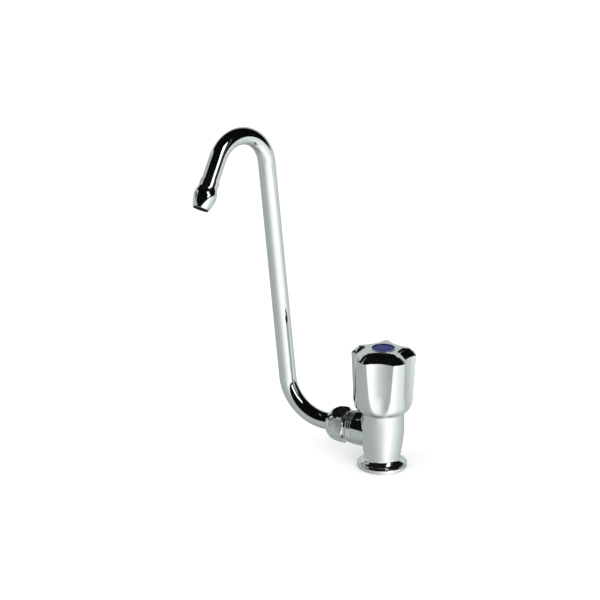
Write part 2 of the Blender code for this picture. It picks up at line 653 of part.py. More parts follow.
def make_spindle(axis):
    """The turned spindle with its splines, and the washer, rings and clip it carries."""
    groove = SPINDLE_GROOVE_RADIUS
    clip_groove = SPINDLE_RADIUS - CIRCLIP_GROOVE_DEPTH
    outline = [
        (0.0, SPINDLE_FOOT),
        (SPINDLE_THREAD_RADIUS - SPINDLE_FOOT_CHAMFER, SPINDLE_FOOT),
        (SPINDLE_THREAD_RADIUS, SPINDLE_FOOT + SPINDLE_FOOT_CHAMFER),
        (SPINDLE_THREAD_RADIUS, COLLAR_BOTTOM),
        (COLLAR_RADIUS - EDGE_BREAK, COLLAR_BOTTOM),
        (COLLAR_RADIUS, COLLAR_BOTTOM + EDGE_BREAK),
        (COLLAR_RADIUS, COLLAR_TOP),
        (SPINDLE_RADIUS, COLLAR_TOP),
        (SPINDLE_RADIUS, LOWER_GROOVE_BOTTOM),
        (groove, LOWER_GROOVE_BOTTOM),
        (groove, LOWER_GROOVE_BOTTOM + RING_GROOVE),
        (SPINDLE_RADIUS, LOWER_GROOVE_BOTTOM + RING_GROOVE),
        (SPINDLE_RADIUS, UPPER_GROOVE_BOTTOM),
        (groove, UPPER_GROOVE_BOTTOM),
        (groove, UPPER_GROOVE_BOTTOM + RING_GROOVE),
        (SPINDLE_RADIUS, UPPER_GROOVE_BOTTOM + RING_GROOVE),
        (SPINDLE_RADIUS, CIRCLIP_BOTTOM - SEAT_GAP),
        (clip_groove, CIRCLIP_BOTTOM - SEAT_GAP),
        (clip_groove, CIRCLIP_TOP + SEAT_GAP),
        (SPINDLE_RADIUS, CIRCLIP_TOP + SEAT_GAP),
        (SPINDLE_RADIUS, SPLINE_BOTTOM),
        (0.0, SPLINE_BOTTOM),
    ]
    spindle = placed("spindle", turned(outline, SMALL_FACETS), BRASS, axis)
    teeth = prism(spline_outline(SPLINE_RADIUS), CIRCLIP_TOP, SPINDLE_TOP - CIRCLIP_TOP)
    combine(spindle, cutter("spline_helper", teeth, axis), "UNION")
    hole_bottom = SPINDLE_TOP - SPINDLE_HOLE_DEPTH
    hole = [
        (0.0, hole_bottom - HANDLE_SCREW_RADIUS / 2),
        (HANDLE_SCREW_HOLE, hole_bottom),
        (HANDLE_SCREW_HOLE, SPINDLE_TOP + OVERSHOOT),
        (0.0, SPINDLE_TOP + OVERSHOOT),
    ]
    combine(spindle, cutter("screw_hole_helper", turned(hole, SMALL_FACETS - 8), axis), "DIFFERENCE")
    washer = ring_outline(SPINDLE_BORE, COLLAR_RADIUS, THRUST_WASHER_BOTTOM, THRUST_WASHER_THICKNESS)
    placed("thrust_washer", turned(washer, SMALL_FACETS), WHITE_PLASTIC, axis)
    o_ring("lower_spindle_ring", groove, LOWER_GROOVE_BOTTOM, axis)
    o_ring("upper_spindle_ring", groove, UPPER_GROOVE_BOTTOM, axis)
    placed("spindle_circlip", circlip(clip_groove + SEAT_GAP), STEEL, axis)


def circlip(inner):
    """An open retaining ring, spun short of a full turn."""
    bm = bmesh.new()
    corners = ((inner, CIRCLIP_BOTTOM), (inner + CIRCLIP_WIDTH, CIRCLIP_BOTTOM))
    corners += ((inner + CIRCLIP_WIDTH, CIRCLIP_TOP), (inner, CIRCLIP_TOP))
    face = bm.faces.new([bm.verts.new((radius, 0.0, height)) for radius, height in corners])
    bmesh.ops.rotate(
        bm,
        verts=bm.verts,
        cent=(0.0, 0.0, 0.0),
        matrix=Matrix.Rotation(CIRCLIP_OPENING / 2, 3, "Z"),
    )
    bmesh.ops.spin(
        bm,
        geom=[face],
        cent=(0.0, 0.0, 0.0),
        axis=(0.0, 0.0, 1.0),
        angle=math.tau - CIRCLIP_OPENING,
        steps=SMALL_FACETS,
    )
    return closed_up(bm)


def make_carrier(axis):
    """The valve carrier that the spindle's thread lifts, with its rubber washer and screw."""
    corner = CARRIER_HALF_FLATS * HEX_CORNER - CARRIER_CORNER_CUT
    disc_radius = CARRIER_HALF_FLATS - CARRIER_DISC_CUT
    thread_bore = SPINDLE_THREAD_RADIUS + THREAD_GAP
    screw_bore = WASHER_SCREW_RADIUS + SEAT_GAP
    screw_ceiling = CARRIER_DISC_BOTTOM + WASHER_SCREW_REACH + SEAT_GAP
    outline = [
        (0.0, screw_ceiling),
        (screw_bore, screw_ceiling),
        (screw_bore, CARRIER_DISC_BOTTOM),
        (disc_radius, CARRIER_DISC_BOTTOM),
        (disc_radius, CARRIER_DISC_TOP),
        (CARRIER_STEM_RADIUS, CARRIER_DISC_TOP),
        (CARRIER_STEM_RADIUS, CARRIER_HEX_BOTTOM),
        (corner - 2 * EDGE_BREAK, CARRIER_HEX_BOTTOM),
        (corner, CARRIER_HEX_BOTTOM + 2 * EDGE_BREAK),
        (corner, CARRIER_TOP - 2 * EDGE_BREAK),
        (corner - 2 * EDGE_BREAK, CARRIER_TOP),
        (thread_bore, CARRIER_TOP),
        (thread_bore, CARRIER_BORE_FLOOR),
        (0.0, CARRIER_BORE_FLOOR),
    ]
    carrier = placed("valve_carrier", turned(outline, SMALL_FACETS + 12), BRASS, axis)
    height = CARRIER_TOP - CARRIER_DISC_BOTTOM + 2 * OVERSHOOT
    flats = hexagon(CARRIER_HALF_FLATS, CARRIER_DISC_BOTTOM - OVERSHOOT, height)
    combine(carrier, cutter("carrier_flats_helper", flats, axis), "INTERSECT")
    washer = ring_outline(screw_bore, SEAT_WASHER_RADIUS, SEAT_WASHER_BOTTOM, SEAT_WASHER_THICKNESS)
    placed("seat_washer", turned(washer, SMALL_FACETS), BLACK_RUBBER, axis)
    head_top = SEAT_WASHER_BOTTOM - SEAT_GAP
    head_bottom = head_top - WASHER_SCREW_HEAD_HEIGHT
    head_radius = WASHER_SCREW_RADIUS + WASHER_SCREW_HEAD_STEP
    outline = [
        (0.0, head_bottom),
        (head_radius - EDGE_BREAK, head_bottom),
        (head_radius, head_bottom + EDGE_BREAK),
        (head_radius, head_top),
        (WASHER_SCREW_RADIUS, head_top),
        (WASHER_SCREW_RADIUS, CARRIER_DISC_BOTTOM + WASHER_SCREW_REACH - EDGE_BREAK),
        (WASHER_SCREW_RADIUS - EDGE_BREAK, CARRIER_DISC_BOTTOM + WASHER_SCREW_REACH),
        (0.0, CARRIER_DISC_BOTTOM + WASHER_SCREW_REACH),
    ]
    screw = placed("washer_screw", turned(outline, SMALL_FACETS - 8), BRASS, axis)
    slot = block((4 * head_radius, SCREW_SLOT_WIDTH, SCREW_SLOT_DEPTH), (0.0, 0.0, head_bottom))
    combine(screw, cutter("washer_screw_slot_helper", slot, axis), "DIFFERENCE")


# Knob


def lobe_radius_at(height):
    """Radius of the knob's lobes: a slow taper above, rounded in towards the foot."""
    share = (height - KNOB_BOTTOM) / (BEVEL_BOTTOM - KNOB_BOTTOM)
    radius = KNOB_LOWER_RADIUS + (KNOB_RADIUS - KNOB_LOWER_RADIUS) * share
    below = max(0.0, 1.0 - (height - KNOB_BOTTOM) / KNOB_FOOT_ROUND)
    rounding = 1.0 - math.sqrt(max(0.0, 1.0 - below**2))
    return radius - (KNOB_LOWER_RADIUS - KNOB_FOOT_RADIUS) * rounding


def flute_radius_at(height):
    """Distance from the axis to the bottom of the flutes, which run out at the foot."""
    share = (height - KNOB_BOTTOM) / (BEVEL_BOTTOM - KNOB_BOTTOM)
    foot = KNOB_FOOT_RADIUS + FLUTE_FOOT_STEP
    return foot + (KNOB_RADIUS - FLUTE_DEPTH - foot) * share


def lobed_ring(height, inset=0.0, level=None):
    """One closed outline of the knob: a lobe circle cut by five concave flute circles.

    The outline is that of the given height moved inwards by inset, and it lies at the given level.
    """
    lobe = lobe_radius_at(height) - inset
    reach = flute_radius_at(height) + FLUTE_ARC_RADIUS
    flute_arc = FLUTE_ARC_RADIUS + inset
    cosine = (lobe**2 + reach**2 - flute_arc**2) / (2 * lobe * reach)
    half_flute = math.acos(max(-1.0, min(1.0, cosine)))
    half_lobe = math.pi / KNOB_LOBES - half_flute
    z = height if level is None else level
    points = []
    for lobe_index in range(KNOB_LOBES):
        centre = KNOB_LOBE_ANGLE + math.tau * lobe_index / KNOB_LOBES
        for step in range(LOBE_STEPS):
            angle = centre + half_lobe * (2 * step / LOBE_STEPS - 1)
            points.append((lobe * math.cos(angle), lobe * math.sin(angle), z))
        middle = centre + math.pi / KNOB_LOBES
        for step in range(FLUTE_STEPS):
            offset = half_flute * (2 * step / FLUTE_STEPS - 1)
            across = math.sqrt(max(0.0, flute_arc**2 - (reach * math.sin(offset)) ** 2))
            radius = min(lobe, reach * math.cos(offset) - across)
            angle = middle + offset
            points.append((radius * math.cos(angle), radius * math.sin(angle), z))
    return points


def round_ring(radius, level, like):
    """A circle with its points at the same angles as those of another ring."""
    angles = [math.atan2(y, x) for x, y, _ in like]
    return [(radius * math.cos(angle), radius * math.sin(angle), level) for angle in angles]


def knob_levels(bottom, top):
    """Heights of the knob's outlines: close together on the rounded foot, then a few above it."""
    foot_top = KNOB_BOTTOM + KNOB_FOOT_ROUND
    levels = []
    for step in range(ARC_STEPS + 2):
        angle = math.pi / 2 * step / (ARC_STEPS + 2)
        levels.append(foot_top - KNOB_FOOT_ROUND * math.cos(angle))
    levels += [foot_top + (top - foot_top) * step / 3 for step in range(4)]
    return [level for level in levels if level >= bottom]


def knob_shell():
    """The knob's outer form: rounded foot, tapering lobes and flutes, bevel and low crown."""
    rings = [lobed_ring(level) for level in knob_levels(KNOB_BOTTOM, BEVEL_BOTTOM)]
    rings.append(lobed_ring(BEVEL_BOTTOM, BEVEL_WIDTH, KNOB_SHOULDER))
    rings.append(round_ring(CROWN_RADIUS, KNOB_CROWN, rings[-1]))
    rings.append(round_ring(CROWN_RADIUS - INDEX_LIP_HEIGHT, KNOB_CROWN + INDEX_LIP_HEIGHT, rings[-1]))
    return loft(rings)


def knob_cavity():
    """The hollow under the knob, which follows the lobes at an even wall."""
    start = KNOB_BOTTOM + KNOB_RIM_DEPTH
    slope = start + KNOB_WALL
    first = lobed_ring(slope, KNOB_WALL)
    rings = [round_ring(KNOB_OPENING, KNOB_BOTTOM - OVERSHOOT, first)]
    rings.append(round_ring(KNOB_OPENING, start, first))
    rings += [lobed_ring(level, KNOB_WALL) for level in knob_levels(slope, CAVITY_TOP - KNOB_WALL)]
    rings.append(lobed_ring(CAVITY_TOP - KNOB_WALL, 2 * KNOB_WALL, CAVITY_TOP))
    return loft(rings)


def knob_boss():
    """The stepped boss inside the knob: narrow round the splines, wide round the screw's well."""
    narrow = SPLINE_RADIUS + SEAT_GAP + KNOB_BOSS_WALL
    wide = WELL_RADIUS + WELL_WALL
    outline = [
        (0.0, KNOB_BOSS_BOTTOM),
        (narrow - EDGE_BREAK, KNOB_BOSS_BOTTOM),
        (narrow, KNOB_BOSS_BOTTOM + EDGE_BREAK),
        (narrow, SOCKET_CEILING - (wide - narrow)),
        (wide, SOCKET_CEILING),
        (wide, CAVITY_TOP + OVERSHOOT),
        (0.0, CAVITY_TOP + OVERSHOOT),
    ]
    return turned(outline, SMALL_FACETS + 8)


def knob_well():
    """The recess for the index disc, the screw's well and its hole through the web."""
    outline = [
        (0.0, SOCKET_CEILING - OVERSHOOT),
        (HANDLE_SCREW_HOLE, SOCKET_CEILING - OVERSHOOT),
        (HANDLE_SCREW_HOLE, WEB_TOP),
        (WELL_RADIUS, WEB_TOP),
        (WELL_RADIUS, INDEX_LEDGE_HEIGHT),
        (INDEX_RECESS_RADIUS, INDEX_LEDGE_HEIGHT),
        (INDEX_RECESS_RADIUS, KNOB_CROWN + OVERSHOOT),
        (0.0, KNOB_CROWN + OVERSHOOT),
    ]
    return turned(outline, SMALL_FACETS + 16)


def make_knob(axis):
    """The hollow five-lobed knob."""
    knob = placed("handle_knob", knob_shell(), CHROME, axis)
    combine(knob, cutter("knob_cavity_helper", knob_cavity(), axis), "DIFFERENCE")
    combine(knob, cutter("knob_boss_helper", knob_boss(), axis), "UNION")
    combine(knob, cutter("knob_well_helper", knob_well(), axis), "DIFFERENCE")
    socket_bottom = KNOB_BOSS_BOTTOM - OVERSHOOT
    socket = prism(spline_outline(SPLINE_RADIUS + SEAT_GAP), socket_bottom, SOCKET_CEILING - socket_bottom)
    combine(knob, cutter("spline_socket_helper", socket, axis), "DIFFERENCE")


def make_index_disc(axis):
    """The blue cold-water disc, slightly domed, with a skirt that snaps into the well."""
    bottom = INDEX_LEDGE_HEIGHT + SEAT_GAP
    skirt = WELL_RADIUS - SEAT_GAP
    dome = []
    for step in range(4):
        share = step / 3
        rise = INDEX_DOME * (1 - (1 - share) ** 2)
        dome.append((INDEX_RADIUS * (1 - share), KNOB_CROWN - EDGE_BREAK + rise))
    outline = [
        (0.0, bottom),
        (skirt - INDEX_SKIRT_WALL, bottom),
        (skirt - INDEX_SKIRT_WALL, bottom - INDEX_SKIRT_DEPTH),
        (skirt - EDGE_BREAK, bottom - INDEX_SKIRT_DEPTH),
        (skirt, bottom - INDEX_SKIRT_DEPTH + EDGE_BREAK),
        (skirt, bottom),
        (INDEX_RADIUS, bottom),
    ]
    placed("index_disc", turned(outline + dome, SMALL_FACETS + 16), BLUE_PLASTIC, axis)


def make_handle_screw(axis):
    """The slotted screw that holds the knob down on the spindle."""
    head_bottom = WEB_TOP + SEAT_GAP
    head_top = head_bottom + HANDLE_SCREW_HEAD_HEIGHT
    head_radius = HANDLE_SCREW_RADIUS + HANDLE_SCREW_HEAD_STEP
    tip = SPINDLE_TOP - HANDLE_SCREW_REACH
    outline = [
        (0.0, tip),
        (HANDLE_SCREW_RADIUS - EDGE_BREAK, tip),
        (HANDLE_SCREW_RADIUS, tip + EDGE_BREAK),
        (HANDLE_SCREW_RADIUS, head_bottom),
        (head_radius, head_bottom),
        (head_radius, head_top - 2 * EDGE_BREAK),
        (head_radius - 2 * EDGE_BREAK, head_top),
        (0.0, head_top),
    ]
    screw = placed("handle_screw", turned(outline, SMALL_FACETS - 4), STEEL, axis)
    slot = block((4 * head_radius, SCREW_SLOT_WIDTH, 2 * SCREW_SLOT_DEPTH), (0.0, 0.0, head_top))
    combine(screw, cutter("handle_screw_slot_helper", slot, axis), "DIFFERENCE")


# Union


def make_union_nut(outlet):
    """The union nut: a domed blank with a plain collar, cut to six flats."""
    corner = NUT_HALF_FLATS * HEX_CORNER
    collar = NUT_HALF_FLATS - NUT_COLLAR_CUT
    chamfer_start = NUT_START + NUT_COLLAR_WIDTH
    dome_start = NUT_END - NUT_DOME_LENGTH
    nose_radius = TUBE_RADIUS + RUN_GAP + NUT_NOSE_WALL
    # The dome is an ellipse about the axis, cut off where it has shrunk to the nose
    nose_angle = math.acos(nose_radius / corner)
    stretch = NUT_DOME_LENGTH / math.sin(nose_angle)
    dome = []
    for step in range(2 * ARC_STEPS + 1):
        angle = nose_angle * step / (2 * ARC_STEPS)
        dome.append((corner * math.cos(angle), dome_start + stretch * math.sin(angle)))
    outline = [
        (NUT_THREAD_RADIUS + EDGE_BREAK, NUT_START),
        (collar - EDGE_BREAK, NUT_START),
        (collar, NUT_START + EDGE_BREAK),
        (collar, chamfer_start),
        (corner, chamfer_start + NUT_CORNER_CHAMFER),
    ]
    outline += dome
    outline += [
        (TUBE_RADIUS + RUN_GAP, NUT_END),
        (TUBE_RADIUS + RUN_GAP, NUT_SHOULDER),
        (NUT_THREAD_RADIUS, NUT_SHOULDER),
        (NUT_THREAD_RADIUS, NUT_START + EDGE_BREAK),
    ]
    nut = placed("union_nut", turned(outline, BODY_FACETS - 8), CHROME, outlet)
    flats = hexagon(NUT_HALF_FLATS, NUT_START - OVERSHOOT, NUT_LENGTH + 2 * OVERSHOOT, NUT_CORNER_ANGLE)
    combine(nut, cutter("nut_flats_helper", flats, outlet), "INTERSECT")


def make_slip_washers(outlet):
    """The two plastic washers that the ferrule's collar turns between."""
    inner = ring_outline(OUTLET_BORE, FERRULE_COLLAR_RADIUS, INNER_WASHER_START, SLIP_WASHER_THICKNESS)
    placed("inner_slip_washer", turned(inner, SMALL_FACETS + 4), WHITE_PLASTIC, outlet)
    clear = TUBE_RADIUS + RUN_GAP
    outer = ring_outline(clear, FERRULE_COLLAR_RADIUS, OUTER_WASHER_START, SLIP_WASHER_THICKNESS)
    placed("outer_slip_washer", turned(outer, SMALL_FACETS + 4), WHITE_PLASTIC, outlet)


# Spout


def make_ferrule(axis):
    """The turned end piece that the tube is soldered into, with its two sealing rings."""
    first = SLEEVE_START + FERRULE_RING_LAND
    second = first + RING_GROOVE + FERRULE_RING_LAND
    groove = FERRULE_GROOVE_RADIUS
    outline = [
        (FERRULE_BORE_RADIUS, SLEEVE_START),
        (SLEEVE_RADIUS - EDGE_BREAK, SLEEVE_START),
        (SLEEVE_RADIUS, SLEEVE_START + EDGE_BREAK),
        (SLEEVE_RADIUS, first),
        (groove, first),
        (groove, first + RING_GROOVE),
        (SLEEVE_RADIUS, first + RING_GROOVE),
        (SLEEVE_RADIUS, second),
        (groove, second),
        (groove, second + RING_GROOVE),
        (SLEEVE_RADIUS, second + RING_GROOVE),
        (SLEEVE_RADIUS, COLLAR_START),
        (FERRULE_COLLAR_RADIUS, COLLAR_START),
        (FERRULE_COLLAR_RADIUS, COLLAR_END),
        (TUBE_RADIUS + SEAT_GAP, COLLAR_END),
        (TUBE_RADIUS + SEAT_GAP, TUBE_START - SEAT_GAP),
        (FERRULE_BORE_RADIUS, TUBE_START - SEAT_GAP),
    ]
    placed("spout_ferrule", turned(outline, SMALL_FACETS + 4), BRASS, axis)
    o_ring("inner_spout_ring", groove, first, axis)
    o_ring("outer_spout_ring", groove, second, axis)


class TubeBend:
    """A tube grown along its centre line by straight extrusions and spins."""

    def __init__(self, start):
        """Start with the tube's end ring, facing along +Z."""
        self.bm = bmesh.new()
        self.place = Vector((0.0, 0.0, start))
        self.heading = Vector((0.0, 0.0, 1.0))
        rings = []
        for radius in (TUBE_RADIUS, TUBE_RADIUS - TUBE_WALL):
            angles = [math.tau * side / SPOUT_FACETS for side in range(SPOUT_FACETS)]
            points = [(radius * math.cos(angle), radius * math.sin(angle), start) for angle in angles]
            rings.append([self.bm.verts.new(point) for point in points])
        outer, inner = rings
        for side in range(SPOUT_FACETS):
            after = (side + 1) % SPOUT_FACETS
            self.bm.faces.new((outer[side], outer[after], inner[after], inner[side]))
        self.end = self.bm.verts[:] + self.bm.edges[:] + self.bm.faces[:]

    def straight(self, length):
        """Grow the tube straight ahead."""
        self.end = bmesh.ops.extrude_face_region(self.bm, geom=self.end)["geom"]
        points = [item for item in self.end if isinstance(item, bmesh.types.BMVert)]
        bmesh.ops.translate(self.bm, verts=points, vec=self.heading * length)
        self.place += self.heading * length

    def bend(self, radius, angle, towards):
        """Grow the tube round a bend that turns it towards the given direction."""
        side = (towards - self.heading * towards.dot(self.heading)).normalized()
        axis = self.heading.cross(side)
        centre = self.place + side * radius
        self.end = bmesh.ops.spin(
            self.bm,
            geom=self.end,
            cent=centre,
            axis=axis,
            angle=angle,
            steps=max(2, round(angle / BEND_STEP)),
        )["geom_last"]
        turn = Matrix.Rotation(angle, 3, axis)
        self.place = centre + turn @ (self.place - centre)
        self.heading = turn @ self.heading


def make_spout(axis):
    """The bent tube from the ferrule over the hook to the nozzle. Returns its end and heading."""
    tube = TubeBend(TUBE_START)
    tube.straight(TUBE_RUN - TUBE_START)
    tube.bend(LOWER_BEND_RADIUS, LOWER_BEND_ANGLE, Vector((1.0, 0.0, 0.0)))
    tube.straight(RISER_LENGTH)
    outwards = Vector((0.0, -math.sin(HOOK_TURN), math.cos(HOOK_TURN)))
    tube.bend(HOOK_RADIUS, HOOK_ANGLE, outwards)
    tube.straight(LEG_LENGTH)
    placed("spout_tube", closed_up(tube.bm), CHROME, axis)
    return tube.place, tube.heading


def nozzle_side():
    """The nozzle's outer outline, from its mouth up over the bulge to the lip on the tube."""
    lip = NOZZLE_SOCKET_RADIUS + NOZZLE_LIP_WALL
    flare_start = NOZZLE_TAPER_LENGTH + NOZZLE_BULGE_ROUND
    taper_top = NOZZLE_BULGE_RADIUS - EDGE_BREAK
    points = [
        (NOZZLE_MOUTH_RADIUS - EDGE_BREAK, 0.0),
        (NOZZLE_MOUTH_RADIUS, EDGE_BREAK),
        (taper_top, NOZZLE_TAPER_LENGTH),
    ]
    for step in range(1, 4):
        share = step / 4
        rise = EDGE_BREAK * math.sin(math.pi * share)
        points.append((taper_top + rise, NOZZLE_TAPER_LENGTH + NOZZLE_BULGE_ROUND * share))
    for step in range(ARC_STEPS + 3):
        share = step / (ARC_STEPS + 2)
        fall = (1 + math.cos(math.pi * share)) / 2
        height = flare_start + (NOZZLE_LENGTH - flare_start) * share
        points.append((lip + (taper_top - lip) * fall, height))
    return points


def make_nozzle(leg_end):
    """The turned nozzle and the plastic insert in its mouth, both about the leg's own axis."""
    outline = nozzle_side()
    outline += [
        (NOZZLE_SOCKET_RADIUS, NOZZLE_LENGTH),
        (NOZZLE_SOCKET_RADIUS, NOZZLE_LENGTH - NOZZLE_SOCKET_DEPTH),
        (NOZZLE_BORE_RADIUS, NOZZLE_LENGTH - NOZZLE_SOCKET_DEPTH),
        (NOZZLE_BORE_RADIUS, 0.0),
    ]
    placed("nozzle", turned(outline, SMALL_FACETS + 8), CHROME, leg_end)
    outer = NOZZLE_BORE_RADIUS - SEAT_GAP
    inner = outer - INSERT_WALL
    lip_top = -SEAT_GAP
    lip_bottom = lip_top - INSERT_LIP_HEIGHT
    outline = [
        (inner, lip_bottom),
        (outer + INSERT_LIP_WIDTH, lip_bottom),
        (outer + INSERT_LIP_WIDTH, lip_top),
        (outer, lip_top),
        (outer, lip_bottom + INSERT_LENGTH),
        (inner, lip_bottom + INSERT_LENGTH),
    ]
    insert = placed("flow_straightener", turned(outline, SMALL_FACETS), BLACK_PLASTIC, leg_end)
    rib_length = 2 * inner + INSERT_WALL
    rib_height = INSERT_LENGTH - 4 * EDGE_BREAK
    middle = (0.0, 0.0, lip_bottom + INSERT_LENGTH / 2)
    first = block((rib_length, INSERT_RIB, rib_height), middle)
    second = block((INSERT_RIB, rib_length, rib_height), middle)
    combine(insert, cutter("first_rib_helper", first, leg_end), "UNION")
    combine(insert, cutter("second_rib_helper", second, leg_end), "UNION")


def main():
    """Build every piece on its axis."""
    clear_scene()
    towards_spout = (0.0, -math.pi / 2, 0.0)
    outlet = empty("outlet_axis", (0.0, 0.0, OUTLET_HEIGHT), towards_spout)
    spout_axis = empty("spout_axis", (0.0, 0.0, OUTLET_HEIGHT), towards_spout)
    knob_axis = empty("knob_axis")
    carrier_axis = empty("carrier_axis")
    make_body(outlet)
    make_bonnet()
    make_spindle(knob_axis)
    make_carrier(carrier_axis)
    make_knob(knob_axis)
    make_index_disc(knob_axis)
    make_handle_screw(knob_axis)
    make_union_nut(outlet)
    make_slip_washers(outlet)
    make_ferrule(spout_axis)
    tube_end, heading = make_spout(spout_axis)
    # The nozzle's own +Z points back up the leg, from its mouth
    up_the_leg = (-heading).to_track_quat("Z", "Y").to_euler()
    leg_end = empty("leg_axis", tube_end + heading * NOZZLE_OVERHANG, up_the_leg)
    leg_end.parent = spout_axis
    make_nozzle(leg_end)
    bpy.context.view_layer.update()


main()
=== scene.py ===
"""Studio picture of a folding swivel spout tap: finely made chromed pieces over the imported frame.

Lengths are in metres and +Z is up. The flange stands on the floor at the origin, the side outlet
points along -X, and the spout's hook turns towards -Y. Each piece keeps the sizes of the solid that
it stands for, and adds rounded edges, a finer surface and its finish.
"""

import logging
from collections.abc import Callable, Sequence
from dataclasses import dataclass
from enum import Enum
from math import acos, ceil, cos, degrees, exp, log1p, pi, radians, sin, sqrt, tan, tau

import bmesh
import bpy
from bmesh.types import BMesh, BMVert
from bpy.types import ColorRamp, Material, Node, NodeSocket, NodeTree, Object
from mathutils import Matrix, Vector


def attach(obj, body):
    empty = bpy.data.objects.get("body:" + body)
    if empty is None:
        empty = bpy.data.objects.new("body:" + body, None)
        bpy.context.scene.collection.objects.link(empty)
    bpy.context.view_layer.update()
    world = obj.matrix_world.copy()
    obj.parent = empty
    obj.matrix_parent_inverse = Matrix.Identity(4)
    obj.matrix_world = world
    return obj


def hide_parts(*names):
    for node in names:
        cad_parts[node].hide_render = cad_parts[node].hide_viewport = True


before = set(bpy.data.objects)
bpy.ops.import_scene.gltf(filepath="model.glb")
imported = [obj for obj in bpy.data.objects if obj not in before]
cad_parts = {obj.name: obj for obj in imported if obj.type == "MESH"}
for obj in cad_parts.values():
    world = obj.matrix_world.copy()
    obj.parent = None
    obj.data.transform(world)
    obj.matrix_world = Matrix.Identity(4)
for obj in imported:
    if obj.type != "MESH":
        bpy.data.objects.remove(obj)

log = logging.getLogger("tap")

Point = tuple[float, float]
Span = tuple[float, float]
Corner = tuple[float, float, float]
Colour = tuple[float, float, float]

SEAT_GAP = 0.0003
RUN_GAP = 0.0003
EDGE_BREAK = 0.0003
OVERSHOOT = 0.001
MERGE_DISTANCE = 1e-7
SHARP_ANGLE = radians(32.0)
HEX_CORNER = 1.0 / cos(radians(30.0))
FLAT_CROWN = 0.00007
FLAT_STEPS = 10
BREAK_STEPS = 4

OUTLET_HEIGHT = 0.0245
TUBE_RADIUS = 0.0060
OUTLET = Matrix.Translation((0.0, 0.0, OUTLET_HEIGHT)) @ Matrix.Rotation(-pi / 2, 4, "Y")
UPRIGHT = Matrix.Identity(4)


class Body(Enum):
    """The bodies of the frame that a piece can ride on."""

    TAP = "tap_body"
    KNOB = "knob"
    SPOUT = "spout"


class Shaping(Enum):
    """How a helper solid shapes a workpiece."""

    JOIN = "UNION"
    CUT = "DIFFERENCE"
    KEEP = "INTERSECT"


# Shader maths


class Term:
    """A number socket in a node tree that takes part in Python expressions."""

    def __init__(self, sheet: "NodeSheet", socket: NodeSocket) -> None:
        """Wrap one output socket of a node on the given sheet."""
        self.sheet = sheet
        self.socket = socket

    def _math(self, operation: str, *inputs: "Term | float") -> "Term":
        """Add one Math node and wrap its result."""
        node = self.sheet.add("ShaderNodeMath", {"operation": operation}, dict(enumerate(inputs)))
        return Term(self.sheet, node.outputs[0])

    def __add__(self, other: "Term | float") -> "Term":
        """Sum, either way round."""
        return self._math("ADD", self, other)

    def __sub__(self, other: "Term | float") -> "Term":
        """This term less another."""
        return self._math("SUBTRACT", self, other)

    def __rsub__(self, other: float) -> "Term":
        """A number less this term."""
        return self._math("SUBTRACT", other, self)

    def __mul__(self, other: "Term | float") -> "Term":
        """Product, either way round."""
        return self._math("MULTIPLY", self, other)

    __radd__ = __add__
    __rmul__ = __mul__

    def __truediv__(self, other: "Term | float") -> "Term":
        """This term divided by another."""
        return self._math("DIVIDE", self, other)

    def __pow__(self, other: "Term | float") -> "Term":
        """This term raised to a power."""
        return self._math("POWER", self, other)

    def sine(self) -> "Term":
        """Sine of this term, in radians."""
        return self._math("SINE", self)

    def arcsine(self) -> "Term":
        """Angle in radians whose sine is this term."""
        return self._math("ARCSINE", self)

    def angle_to(self, along: "Term") -> "Term":
        """Angle in radians of the point that is this term up and the other one along."""
        return self._math("ARCTAN2", self, along)

    def step_up(self, start: float, stop: float) -> "Term":
        """A smooth rise from 0 at start to 1 at stop.

        Args:
            start: Value where the rise starts.
            stop: Value where it ends.

        Returns:
            The rise, clamped to 0 and 1.
        """
        settings = {"interpolation_type": "SMOOTHSTEP"}
        values = {"Value": self, "From Min": start, "From Max": stop, "To Min": 0.0, "To Max": 1.0}
        node = self.sheet.add("ShaderNodeMapRange", settings, values)
        return Term(self.sheet, node.outputs["Result"])

    def between(self, low: float, high: float, soft: float) -> "Term":
        """A mask of the values between two limits, with soft edges.

        Args:
            low: Lower limit.
            high: Upper limit.
            soft: Half the width of the soft edges.

        Returns:
            The mask.
        """
        return self.step_up(low - soft, low + soft) * (1.0 - self.step_up(high - soft, high + soft))


